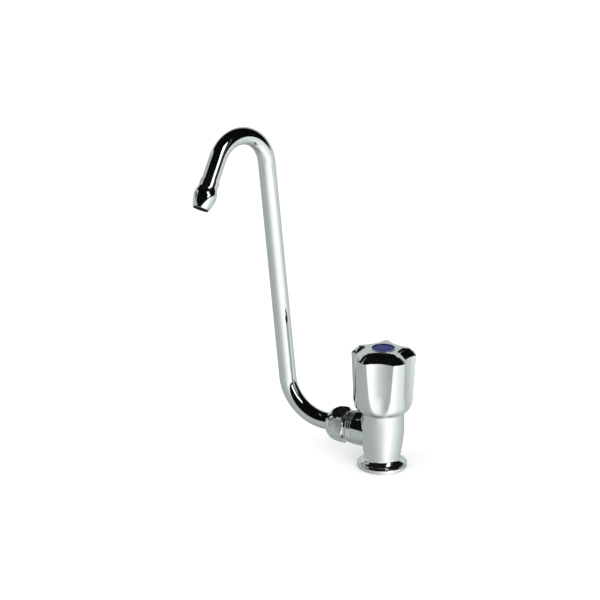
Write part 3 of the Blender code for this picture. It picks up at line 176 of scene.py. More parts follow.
class NodeSheet:
    """A node tree whose nodes all come from one method."""

    def __init__(self, tree: NodeTree) -> None:
        """Empty the tree and keep it."""
        self.tree = tree
        tree.nodes.clear()

    def add(self, kind: str, settings: dict | None = None, sockets: dict | None = None) -> Node:
        """Make a node, set it up, then fill its sockets.

        Args:
            kind: The node's type.
            settings: Properties of the node; a ramp's stops are pairs of place and colour.
            sockets: Values or links of the inputs, by name or number.

        Returns:
            The node.
        """
        node = self.tree.nodes.new(kind)
        for name, value in (settings or {}).items():
            if name == "stops":
                self._set_stops(node.color_ramp, value)
            else:
                setattr(node, name, value)
        for name, value in (sockets or {}).items():
            if isinstance(value, Term):
                self.tree.links.new(value.socket, node.inputs[name])
            elif isinstance(value, NodeSocket):
                self.tree.links.new(value, node.inputs[name])
            else:
                node.inputs[name].default_value = value
        return node

    @staticmethod
    def _set_stops(ramp: ColorRamp, stops: Sequence[tuple[float, float]]) -> None:
        """Give a ramp its grey stops.

        Args:
            ramp: The ramp to fill.
            stops: Pairs of place and grey level, in rising order.
        """
        while len(ramp.elements) > 1:
            ramp.elements.remove(ramp.elements[-1])
        for index, (place, grey) in enumerate(stops):
            element = ramp.elements[0] if index == 0 else ramp.elements.new(place)
            element.position = place
            element.color = (grey, grey, grey, 1.0)

    def ramp(self, term: Term, stops: Sequence[tuple[float, float]]) -> Term:
        """Look a term up on a grey ramp.

        Args:
            term: A value from 0 to 1.
            stops: Pairs of place and grey level.

        Returns:
            The grey level.
        """
        node = self.add("ShaderNodeValToRGB", {"stops": stops}, {"Fac": term})
        return Term(self, node.outputs["Color"])

    def place(self) -> NodeSocket:
        """The point's place in the piece's own frame."""
        return self.add("ShaderNodeTexCoord").outputs["Object"]

    def parts_of(self, vector: NodeSocket) -> tuple[Term, Term, Term]:
        """The three parts of a vector."""
        node = self.add("ShaderNodeSeparateXYZ", sockets={0: vector})
        return tuple(Term(self, socket) for socket in node.outputs)

    def noise(self, size: float, detail: float = 2.0, stretch: Sequence[float] = (1, 1, 1)) -> Term:
        """Noise over the surface.

        Args:
            size: Size of its patches in metres.
            detail: Number of finer layers.
            stretch: How much tighter the patches are along each axis.

        Returns:
            The noise, about 0.5 on average.
        """
        places = {"Vector": self.place(), "Scale": tuple(stretch)}
        mapping = self.add("ShaderNodeMapping", sockets=places)
        values = {"Vector": mapping.outputs[0], "Scale": 1.0 / size, "Detail": detail}
        node = self.add("ShaderNodeTexNoise", {"normalize": True}, values)
        return Term(self, node.outputs["Fac"])

    def mixed(self, share: Term, first: Colour, second: Colour) -> NodeSocket:
        """Blend two colours.

        Args:
            share: How much of the second colour shows.
            first: Colour where the share is 0.
            second: Colour where it is 1.

        Returns:
            The blended colour.
        """
        node = self.add("ShaderNodeMix", {"data_type": "RGBA"}, {"Factor": share})
        node.inputs[6].default_value = (*first, 1.0)
        node.inputs[7].default_value = (*second, 1.0)
        return node.outputs[2]

    def relief(self, height: Term, depth: float) -> NodeSocket:
        """Make the light see a finely uneven surface.

        Args:
            height: The surface's height, from 0 to 1.
            depth: What 1 stands for, in metres.

        Returns:
            The surface's normal.
        """
        values = {"Height": height, "Strength": 1.0, "Distance": depth}
        node = self.add("ShaderNodeBump", sockets=values)
        return node.outputs["Normal"]


def principled(name: str, sockets_of: Callable[[NodeSheet], dict]) -> Material:
    """Make a material of one Principled shader.

    Args:
        name: The material's name.
        sockets_of: Gives the shader's values and links on a node sheet.

    Returns:
        The material.
    """
    material = bpy.data.materials.new(name)
    material.use_nodes = True
    sheet = NodeSheet(material.node_tree)
    shader = sheet.add("ShaderNodeBsdfPrincipled", sockets=sockets_of(sheet))
    sheet.add("ShaderNodeOutputMaterial", sockets={"Surface": shader.outputs["BSDF"]})
    return material


# Finishes


@dataclass(frozen=True)
class Finish:
    """What every finish has in common: a name and one Principled shader."""

    name: str
    colour: Colour
    roughness: float

    def sockets(self, sheet: NodeSheet) -> dict:
        """Values and links of the Principled shader's inputs."""
        raise NotImplementedError

    def dress(self, piece: Object) -> None:
        """Put the finish on every slot of a piece; its material is made on its first use.

        Args:
            piece: A piece, or a solid of the frame.
        """
        material = bpy.data.materials.get(self.name) or principled(self.name, self.sockets)
        if not piece.material_slots:
            piece.data.materials.append(None)
        for slot in piece.material_slots:
            slot.material = material


@dataclass(frozen=True)
class ChromePlate(Finish):
    """Polished chrome plating with faint wipe marks over a slightly uneven casting."""

    dulling: float = 0.965
    smudge: float = 0.05
    smudge_size: float = 0.014
    smudge_stretch: Sequence[float] = (1.0, 1.0, 0.6)
    smudge_range: Span = (0.42, 0.72)
    hairlines: float = 0.02
    hairline_size: float = 0.0011
    hairline_stretch: Sequence[float] = (1.0, 1.0, 0.04)
    hairline_range: Span = (0.58, 0.78)
    unevenness: float = 0.000012
    unevenness_size: float = 0.016

    def sockets(self, sheet: NodeSheet) -> dict:
        """Wire the wipe marks, the hairlines and the slightly uneven plating.

        Args:
            sheet: The material's node sheet.

        Returns:
            Values and links of the Principled shader's inputs.
        """
        smudges = sheet.noise(self.smudge_size, detail=4.0, stretch=self.smudge_stretch)
        wiped = smudges.step_up(*self.smudge_range)
        hairs = sheet.noise(self.hairline_size, detail=1.0, stretch=self.hairline_stretch)
        lines = hairs.step_up(*self.hairline_range)
        waves = sheet.noise(self.unevenness_size, detail=1.0)
        dulled = tuple(self.dulling * part for part in self.colour)
        return {
            "Base Color": sheet.mixed(wiped, self.colour, dulled),
            "Metallic": 1.0,
            "Roughness": self.roughness + wiped * self.smudge + lines * self.hairlines,
            "Normal": sheet.relief(waves, self.unevenness),
        }


@dataclass(frozen=True)
class TurnedMetal(Finish):
    """Bare metal from the lathe: fine tool rings, and a little tarnish between them."""

    tarnish: Colour = (0.42, 0.30, 0.16)
    tarnish_share: float = 0.6
    tarnish_size: float = 0.004
    tarnish_range: Span = (0.50, 0.85)
    tarnish_dulling: float = 0.18
    tool_pitch: float = 0.00028
    tool_depth: float = 0.000004
    tool_dulling: float = 0.05

    def sockets(self, sheet: NodeSheet) -> dict:
        """Wire the tool rings and the tarnish.

        Args:
            sheet: The material's node sheet.

        Returns:
            Values and links of the Principled shader's inputs.
        """
        across, along, up = sheet.parts_of(sheet.place())
        radius = (across * across + along * along) ** 0.5
        rings = ((up + radius) * (tau / self.tool_pitch)).sine() * 0.5 + 0.5
        stain = sheet.noise(self.tarnish_size, detail=4.0).step_up(*self.tarnish_range)
        dulling = stain * self.tarnish_dulling + rings * self.tool_dulling
        return {
            "Base Color": sheet.mixed(stain * self.tarnish_share, self.colour, self.tarnish),
            "Metallic": 1.0,
            "Roughness": self.roughness + dulling,
            "Normal": sheet.relief(rings, self.tool_depth),
        }


@dataclass(frozen=True)
class Moulded(Finish):
    """Moulded plastic, rubber or pressed fibre with a fine grain and uneven colour."""

    second_colour: Colour
    grain_size: float = 0.0006
    grain_depth: float = 0.00001
    grain_stretch: Sequence[float] = (1.0, 1.0, 1.0)
    grain_dulling: float = 0.12
    patch_grains: float = 8.0
    patch_range: Span = (0.35, 0.75)
    specular: float = 0.5

    def sockets(self, sheet: NodeSheet) -> dict:
        """Wire the fine grain and the uneven colour.

        Args:
            sheet: The material's node sheet.

        Returns:
            Values and links of the Principled shader's inputs.
        """
        grain = sheet.noise(self.grain_size, detail=3.0, stretch=self.grain_stretch)
        patch_size = self.patch_grains * self.grain_size
        patches = sheet.noise(patch_size, stretch=self.grain_stretch)
        spread = patches.step_up(*self.patch_range)
        return {
            "Base Color": sheet.mixed(spread, self.colour, self.second_colour),
            "Roughness": self.roughness + grain * self.grain_dulling,
            "Specular IOR Level": self.specular,
            "Normal": sheet.relief(grain, self.grain_depth),
        }


PLATE = (0.80, 0.82, 0.82)
BRIGHT_CHROME = ChromePlate("bright_chrome", PLATE, 0.035)
CAST_CHROME = ChromePlate("cast_chrome", PLATE, 0.06, smudge=0.07, unevenness=0.00002)
NUT_CHROME = ChromePlate("nut_chrome", PLATE, 0.07, smudge=0.14, smudge_size=0.006)
KNOB_CHROME = ChromePlate("knob_chrome", PLATE, 0.045, smudge=0.06)
BRASS = TurnedMetal("turned_brass", (0.78, 0.57, 0.28), 0.22)
STEEL = TurnedMetal("turned_steel", (0.60, 0.60, 0.61), 0.20, tarnish=(0.38, 0.37, 0.37))
RUBBER = Moulded("black_rubber", (0.018, 0.018, 0.019), 0.55, (0.035, 0.034, 0.033))
ACETAL = Moulded("white_acetal", (0.80, 0.80, 0.77), 0.30, (0.74, 0.74, 0.70))
FIBRE = Moulded(
    "red_fibre",
    (0.40, 0.11, 0.07),
    0.62,
    (0.28, 0.07, 0.05),
    grain_depth=0.00004,
    grain_stretch=(1.0, 0.3, 1.0),
)
BLACK_PLASTIC = Moulded(
    "black_plastic", (0.010, 0.010, 0.011), 0.50, (0.016, 0.016, 0.017), specular=0.12
)
COLD_BLUE = Moulded(
    "cold_blue_plastic",
    (0.012, 0.020, 0.150),
    0.30,
    (0.018, 0.026, 0.185),
    grain_depth=0.000004,
    specular=0.22,
)


# Making shapes


def shares(count: int, first: int = 0) -> list[float]:
    """Even shares of a whole: first / count, and so on up to 1."""
    return [step / count for step in range(first, count + 1)]


def linked(name: str, data: bpy.types.ID) -> Object:
    """Make an object and put it in the scene.

    Args:
        name: The object's name.
        data: Its mesh, lamp or camera.

    Returns:
        The object.
    """
    made = bpy.data.objects.new(name, data)
    bpy.context.scene.collection.objects.link(made)
    return made


def meshed(name: str, bm: BMesh) -> Object:
    """Make an object of a bmesh and put it in the scene.

    Args:
        name: The object's name.
        bm: Its mesh, which is used up.

    Returns:
        The object.
    """
    mesh = bpy.data.meshes.new(name)
    bm.to_mesh(mesh)
    bm.free()
    return linked(name, mesh)


def closed_up(bm: BMesh) -> BMesh:
    """Merge the points that meet and turn every face outwards.

    Args:
        bm: The mesh to close.

    Returns:
        The same mesh.
    """
    bmesh.ops.remove_doubles(bm, verts=bm.verts, dist=MERGE_DISTANCE)
    bmesh.ops.dissolve_degenerate(bm, edges=bm.edges, dist=MERGE_DISTANCE)
    bmesh.ops.recalc_face_normals(bm, faces=bm.faces)
    return bm


def filleted(corners: Sequence[Corner], steps: int = 5) -> list[Point]:
    """Round the corners of a closed outline.

    Args:
        corners: Radius, height and fillet of each corner.
        steps: Number of segments in each fillet.

    Returns:
        The outline's points.
    """
    points: list[Point] = []
    for index, (radius, height, fillet) in enumerate(corners):
        corner = Vector((radius, height))
        if fillet <= 0.0:
            points.append((radius, height))
            continue
        back = Vector(corners[index - 1][:2]) - corner
        on = Vector(corners[(index + 1) % len(corners)][:2]) - corner
        back.normalize()
        on.normalize()
        half = back.angle(on) / 2
        reach = fillet / tan(half)
        middle = corner + (back + on).normalized() * (fillet / sin(half))
        start = corner + back * reach - middle
        sweep = start.angle_signed(corner + on * reach - middle)
        for step in range(steps + 1):
            turn = Matrix.Rotation(-sweep * step / steps, 2)
            points.append(tuple(middle + turn @ start))
    return points


def arc(centre: Point, radius: float, start: float, stop: float, steps: int) -> list[Point]:
    """Points along an arc.

    Args:
        centre: Centre of the arc, as radius and height.
        radius: Radius of the arc.
        start: Angle of its first point.
        stop: Angle of its last point.
        steps: Number of segments.

    Returns:
        The arc's points.
    """
    angles = [start + (stop - start) * share for share in shares(steps)]
    return [(centre[0] + radius * cos(a), centre[1] + radius * sin(a)) for a in angles]


def turned(outline: Sequence[Point], facets: int) -> BMesh:
    """Spin a closed outline about Z.

    Args:
        outline: Points as radius and height.
        facets: Number of facets around.

    Returns:
        The turned solid.
    """
    bm = bmesh.new()
    points = [bm.verts.new((radius, 0.0, height)) for radius, height in outline]
    pairs = zip(points, points[1:] + points[:1])
    edges = [bm.edges.new(pair) for pair in pairs if max(pair[0].co.x, pair[1].co.x) > 0.0]
    bmesh.ops.spin(
        bm,
        geom=points + edges,
        cent=(0.0, 0.0, 0.0),
        axis=(0.0, 0.0, 1.0),
        angle=tau,
        steps=facets,
        use_merge=True,
    )
    return closed_up(bm)


def crowned_hexagon(half_flats: float, bottom: float, height: float, corner: float) -> BMesh:
    """A six-sided bar about Z whose flats are polished very slightly round, both ways.

    Args:
        half_flats: Distance from the axis to the middle of a flat.
        bottom: Height of its lower end.
        height: Its length.
        corner: Angle of one of its corners.

    Returns:
        The bar.
    """
    half_side = half_flats * tan(radians(30.0))
    rings = []
    for level in shares(FLAT_STEPS):
        flats = half_flats - FLAT_CROWN * (2 * level - 1) ** 2
        ring = []
        for side in range(6):
            middle = corner + radians(30.0 + 60.0 * side)
            normal = Vector((cos(middle), sin(middle), 0.0))
            edge = Vector((-normal.y, normal.x, 0.0)) * half_side
            for share in shares(FLAT_STEPS)[:-1]:
                across = 2 * share - 1
                point = normal * (flats - FLAT_CROWN * across**2) + edge * across
                ring.append(point + Vector((0.0, 0.0, bottom + height * level)))
        rings.append(ring)
    return skinned(rings)


def raised(bm: BMesh, height: float) -> BMesh:
    """Extrude a flat face upwards into a closed solid.

    Args:
        bm: A mesh of one flat face.
        height: How far it is extruded.

    Returns:
        The same mesh.
    """
    grown = bmesh.ops.extrude_face_region(bm, geom=bm.faces[:])["geom"]
    points = [item for item in grown if isinstance(item, BMVert)]
    bmesh.ops.translate(bm, verts=points, vec=(0.0, 0.0, height))
    return closed_up(bm)


def prism(outline: Sequence[Point], bottom: float, height: float) -> BMesh:
    """Extrude a closed plan outline along Z.

    Args:
        outline: Points as x and y.
        bottom: Height of its lower face.
        height: Its length.

    Returns:
        The prism.
    """
    bm = bmesh.new()
    bm.faces.new([bm.verts.new((x, y, bottom)) for x, y in outline])
    return raised(bm, height)


def block(size: Sequence[float], centre: Sequence[float]) -> BMesh:
    """A plain box, only used as a helper solid.

    Args:
        size: Its lengths along x, y and z.
        centre: Its centre.

    Returns:
        The box.
    """
    bm = bmesh.new()
    place = Matrix.Translation(centre) @ Matrix.Diagonal((*size, 1.0))
    bmesh.ops.create_cube(bm, size=1.0, matrix=place)
    return bm


def skinned(rings: Sequence[Sequence[Vector]]) -> BMesh:
    """Bridge a stack of closed outlines and cap both ends.

    Args:
        rings: Outlines with equal point counts, from one end to the other.

    Returns:
        The closed solid.
    """
    bm = bmesh.new()
    loops = []
    for ring in rings:
        points = [bm.verts.new(point) for point in ring]
        loops.append([bm.edges.new(pair) for pair in zip(points, points[1:] + points[:1])])
    for lower, upper in zip(loops, loops[1:]):
        bmesh.ops.bridge_loops(bm, edges=lower + upper)
    bmesh.ops.edgeloop_fill(bm, edges=loops[0])
    bmesh.ops.edgeloop_fill(bm, edges=loops[-1])
    return closed_up(bm)


class Workpiece:
    """A solid that helper solids join, cut or trim, and that ends as one finished piece."""

    def __init__(self, name: str, bm: BMesh) -> None:
        """Start from a blank.

        Args:
            name: Name of the finished piece.
            bm: The blank's mesh, which is used up.
        """
        self.piece = meshed(name, bm)

    def shape(self, how: Shaping, bm: BMesh, place: Matrix = UPRIGHT) -> "Workpiece":
        """Join, cut or trim the workpiece with a helper solid.

        Args:
            how: What the helper does.
            bm: The helper's mesh, which is used up.
            place: Where the helper stands.

        Returns:
            The workpiece itself.
        """
        bmesh.ops.transform(bm, matrix=place, verts=bm.verts)
        helper = meshed("helper", bm)
        modifier = self.piece.modifiers.new("shaping", "BOOLEAN")
        modifier.operation = how.value
        modifier.solver = "EXACT"
        modifier.object = helper
        graph = bpy.context.evaluated_depsgraph_get()
        shaped = bpy.data.meshes.new_from_object(self.piece.evaluated_get(graph))
        self.piece.modifiers.clear()
        self.piece.data = shaped
        bpy.data.objects.remove(helper, do_unlink=True)
        return self

    def finished(self, body: Body, node: str, finish: Finish, place: Matrix = UPRIGHT) -> Object:
        """Shade, dress and hand over the piece.

        Args:
            body: The body that the piece rides on.
            node: The solid that it stands for, which is hidden.
            finish: Its finish.
            place: Where the piece goes; its mesh takes the place on.

        Returns:
            The finished piece.
        """
        mesh = self.piece.data
        mesh.transform(place)
        bm = bmesh.new()
        bm.from_mesh(mesh)
        bmesh.ops.dissolve_degenerate(bm, edges=bm.edges, dist=MERGE_DISTANCE)
        bm.to_mesh(mesh)
        bm.free()
        mesh.materials.clear()
        mesh.shade_smooth()
        mesh.set_sharp_from_angle(angle=SHARP_ANGLE)
        finish.dress(self.piece)
        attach(self.piece, body.value)
        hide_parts(node)
        log.info("%s stands for %s, %d faces", self.piece.name, node, len(mesh.polygons))
        return self.piece


# The tap's sub-assemblies


@dataclass
class Casting:
    """The turned body with its flange, waterway, side stub and union spigot."""

    height: float = 0.0409
    top_radius: float = 0.0146
    belly_radius: float = 0.0151
    belly_height: float = 0.0290
    neck_radius: float = 0.0125
    neck_height: float = 0.0080
    belly_power: float = 1.7
    flange_radius: float = 0.0174
    rim_height: float = 0.0030
    rim_round: float = 0.0005
    rim_steps: int = 6
    flange_land: float = 0.0009
    inlet_radius: float = 0.0079
    inlet_depth: float = 0.0105
    inlet_chamfer: float = 0.0008
    inlet_pitch: float = 0.00134
    inlet_turns: int = 6
    inlet_flank: float = 0.4
    inlet_flat: float = 0.05
    seat_bore: float = 0.0046
    seat_height: float = 0.0185
    lip_width: float = 0.0010
    lip_height: float = 0.0018
    chamber_step: float = 0.0011
    bonnet_bore: float = 0.01025
    bonnet_rise: float = 0.0016
    bonnet_length: float = 0.0115
    port_radius: float = 0.0048
    seal_land: float = 0.0028
    seal_width: float = 0.0032
    seal_depth: float = 0.0016
    stub_radius: float = 0.0121
    stub_reach: float = 0.0199
    beads: int = 2
    bead_width: float = 0.00145
    bead_groove: float = 0.0004
    bead_step: float = 0.0003
    bead_round: float = 0.0004
    spigot_length: float = 0.0076
    spigot_radius: float = 0.0094
    spigot_bore: float = 0.0076
    thread_pitch: float = 0.0012
    thread_depth: float = 0.0003
    thread_flat: float = 0.1
    bore_floor: float = 0.0210
    facets: int = 168
    side_steps: int = 18
    top_steps: int = 6

    @property
    def beads_end(self) -> float:
        """Where the beads end, along the outlet."""
        return self.stub_reach + self.beads * (self.bead_groove + self.bead_width)

    def flange(self) -> list[Point]:
        """Outline of the flange's rounded rim and the hollow flare above it.

        Returns:
            Points from the underside up to the neck.
        """
        rim = self.flange_radius - self.rim_round
        points = []
        for height, start in ((self.rim_round, -pi / 2), (self.rim_height - self.rim_round, 0.0)):
            points += arc((rim, height), self.rim_round, start, start + pi / 2, self.rim_steps)
        flare = self.flange_radius - self.flange_land
        reach = flare - self.neck_radius
        drop = self.neck_height - self.rim_height
        angles = [pi / 2 * (1 - share) for share in shares(self.side_steps)]
        points += [(flare - reach * cos(a), self.neck_height - drop * sin(a)) for a in angles]
        return points

    def side(self) -> list[Point]:
        """Outline of the swelling side, from the neck to the top face.

        Returns:
            Points from above the neck to the top face's edge.
        """
        points = []
        rise = self.belly_height - self.neck_height
        for share in shares(self.side_steps, 1):
            fall = (self.belly_radius - self.neck_radius) * (1 - share) ** self.belly_power
            points.append((self.belly_radius - fall, self.neck_height + rise * share))
        upper = self.height - EDGE_BREAK - self.belly_height
        for share in shares(self.top_steps, 1):
            fall = (self.belly_radius - self.top_radius) * share**2
            points.append((self.belly_radius - fall, self.belly_height + upper * share))
        points.append((self.top_radius - EDGE_BREAK, self.height))
        return points

    def outlet(self) -> BMesh:
        """The plain stub, its two turned beads and the threaded spigot, along +Z.

        Returns:
            The solid that is joined to the turned body.
        """
        corners: list[Corner] = [
            (0.0, 0.0, 0.0),
            (self.stub_radius, 0.0, 0.0),
            (self.stub_radius, self.stub_reach, self.bead_round),
        ]
        radius = self.stub_radius
        start = self.stub_reach
        for _ in range(self.beads):
            radius -= self.bead_step
            groove = radius - self.bead_groove
            corners.append((groove, start, 0.0))
            start += self.bead_groove
            corners += [(groove, start, 0.0), (radius, start, self.bead_round)]
            start += self.bead_width
            corners.append((radius, start, self.bead_round))
        root = self.spigot_radius - self.thread_depth
        corners.append((root, start, 0.0))
        turns = int((self.spigot_length - self.thread_pitch) / self.thread_pitch)
        first = start + self.thread_pitch
        flat = self.thread_flat * self.thread_pitch
        for turn in range(turns):
            crest = first + (turn + 0.5) * self.thread_pitch
            corners.append((root, first + turn * self.thread_pitch, 0.0))
            corners += [(self.spigot_radius, place, 0.0) for place in (crest - flat, crest + flat)]
        end = start + self.spigot_length
        corners.append((root, first + turns * self.thread_pitch, 0.0))
        corners += [(root, end, 0.0), (0.0, end, 0.0)]
        return turned(filleted(corners), self.facets)

    def inlet_thread(self) -> list[Point]:
        """Outline of the thread that is cut into the inlet's wall.

        Returns:
            Points from the inlet's chamfer upwards.
        """
        wall = self.inlet_radius
        root = wall + 2 * self.thread_depth
        flank, flat = self.inlet_flank, self.inlet_flat
        profile = ((wall, -flank), (root, -flat), (root, flat), (wall, flank))
        points = [(wall, self.inlet_chamfer)]
        for turn in range(1, self.inlet_turns + 1):
            for radius, pitches in profile:
                points.append((radius, self.inlet_chamfer + (turn + pitches) * self.inlet_pitch))
        return points

    def waterway(self) -> BMesh:
        """The bore from the inlet over the seat to the bonnet's seat.

        Returns:
            The solid that is cut out.
        """
        floor = self.seat_height - self.lip_height
        cone = (self.inlet_radius - self.seat_bore) / 2
        lip = self.seat_bore + self.lip_width
        bonnet_foot = self.height + self.bonnet_rise - self.bonnet_length - SEAT_GAP
        outline = [
            (0.0, -OVERSHOOT),
            (self.inlet_radius + self.inlet_chamfer + OVERSHOOT, -OVERSHOOT),
            *self.inlet_thread(),
            (self.inlet_radius, self.inlet_depth),
            (self.seat_bore, self.inlet_depth + cone),
            (self.seat_bore, self.seat_height),
            (lip, self.seat_height),
            (lip + EDGE_BREAK, floor),
            (self.bonnet_bore - self.chamber_step, floor),
            (self.bonnet_bore - self.chamber_step, bonnet_foot - self.chamber_step),
            (self.bonnet_bore, bonnet_foot),
            (self.bonnet_bore, self.height - EDGE_BREAK),
            (self.bonnet_bore + EDGE_BREAK + OVERSHOOT, self.height + OVERSHOOT),
            (0.0, self.height + OVERSHOOT),
        ]
        return turned(outline, self.facets // 2)

    def outlet_bores(self) -> BMesh:
        """The port from the chamber and the bore that the spout's ferrule turns in.

        Returns:
            The solid that is cut out, along +Z.
        """
        start = self.bonnet_bore - self.chamber_step - 2 * OVERSHOOT
        end = self.beads_end + self.spigot_length
        outline = [
            (0.0, start),
            (self.port_radius, start),
            (self.port_radius, self.bore_floor),
            (self.spigot_bore, self.bore_floor),
            (self.spigot_bore, end - EDGE_BREAK),
            (self.spigot_bore + EDGE_BREAK + OVERSHOOT, end + OVERSHOOT),
            (0.0, end + OVERSHOOT),
        ]
        return turned(outline, self.facets // 2)

    def seal_recess(self) -> BMesh:
        """The ring-shaped recess under the flange.

        Returns:
            The solid that is cut out from below.
        """
        inner = self.inlet_radius + self.seal_land - SEAT_GAP
        outer = self.inlet_radius + self.seal_land + self.seal_width + SEAT_GAP
        ends = ((inner, -OVERSHOOT), (outer, -OVERSHOOT))
        outline = [*ends, (outer, self.seal_depth), (inner, self.seal_depth)]
        return turned(outline, self.facets // 2)

    def build(self) -> None:
        """Make and dress the body."""
        outline = [(0.0, 0.0)] + self.flange() + self.side() + [(0.0, self.height)]
        blank = Workpiece("body_casting", turned(outline, self.facets))
        blank.shape(Shaping.JOIN, self.outlet(), OUTLET)
        blank.shape(Shaping.CUT, self.waterway())
        blank.shape(Shaping.CUT, self.outlet_bores(), OUTLET)
        blank.shape(Shaping.CUT, self.seal_recess())
        blank.finished(Body.TAP, "valve_body", CAST_CHROME)


@dataclass
class UnionNut:
    """The six-sided union nut with its plain collar and domed end."""

    start: float = 0.0242
    length: float = 0.0173
    thread_radius: float = 0.0097
    wall: float = 0.0015
    collar_width: float = 0.0016
    collar_cut: float = 0.0005
    corner_chamfer: float = 0.0018
    dome_length: float = 0.0114
    nose_wall: float = 0.0007
    shoulder: float = 0.0361
    corner_angle: float = radians(-47.0)
    facets: int = 192
    dome_steps: int = 28

    @property
    def flats(self) -> float:
        """Distance from the axis to the middle of a flat."""
        return self.thread_radius + self.wall

    def blank(self) -> BMesh:
        """The turned blank: collar, chamfer, dome and the threaded hollow.

        Returns:
            The blank, before its flats are shaped.
        """
        corner = self.flats * HEX_CORNER
        collar = self.flats - self.collar_cut
        chamfer_start = self.start + self.collar_width
        end = self.start + self.length
        nose = TUBE_RADIUS + RUN_GAP + self.nose_wall
        nose_angle = acos(nose / corner)
        stretch = self.dome_length / sin(nose_angle)
        outline = [
            (self.thread_radius + EDGE_BREAK, self.start),
            (collar - EDGE_BREAK, self.start),
            (collar, self.start + EDGE_BREAK),
            (collar, chamfer_start),
            (corner, chamfer_start + self.corner_chamfer),
        ]
        for share in shares(self.dome_steps):
            rise = stretch * sin(nose_angle * share)
            outline.append((corner * cos(nose_angle * share), end - self.dome_length + rise))
        outline += [
            (TUBE_RADIUS + RUN_GAP, end),
            (TUBE_RADIUS + RUN_GAP, self.shoulder),
            (self.thread_radius, self.shoulder),
            (self.thread_radius, self.start + EDGE_BREAK),
        ]
        return turned(outline, self.facets)

    def build(self) -> None:
        """Make and dress the nut."""
        nut = Workpiece("hexagon_union", self.blank())
        length = self.length + 2 * OVERSHOOT
        bar = crowned_hexagon(self.flats, self.start - OVERSHOOT, length, self.corner_angle)
        nut.shape(Shaping.KEEP, bar)
        nut.finished(Body.TAP, "union_nut", NUT_CHROME, OUTLET)


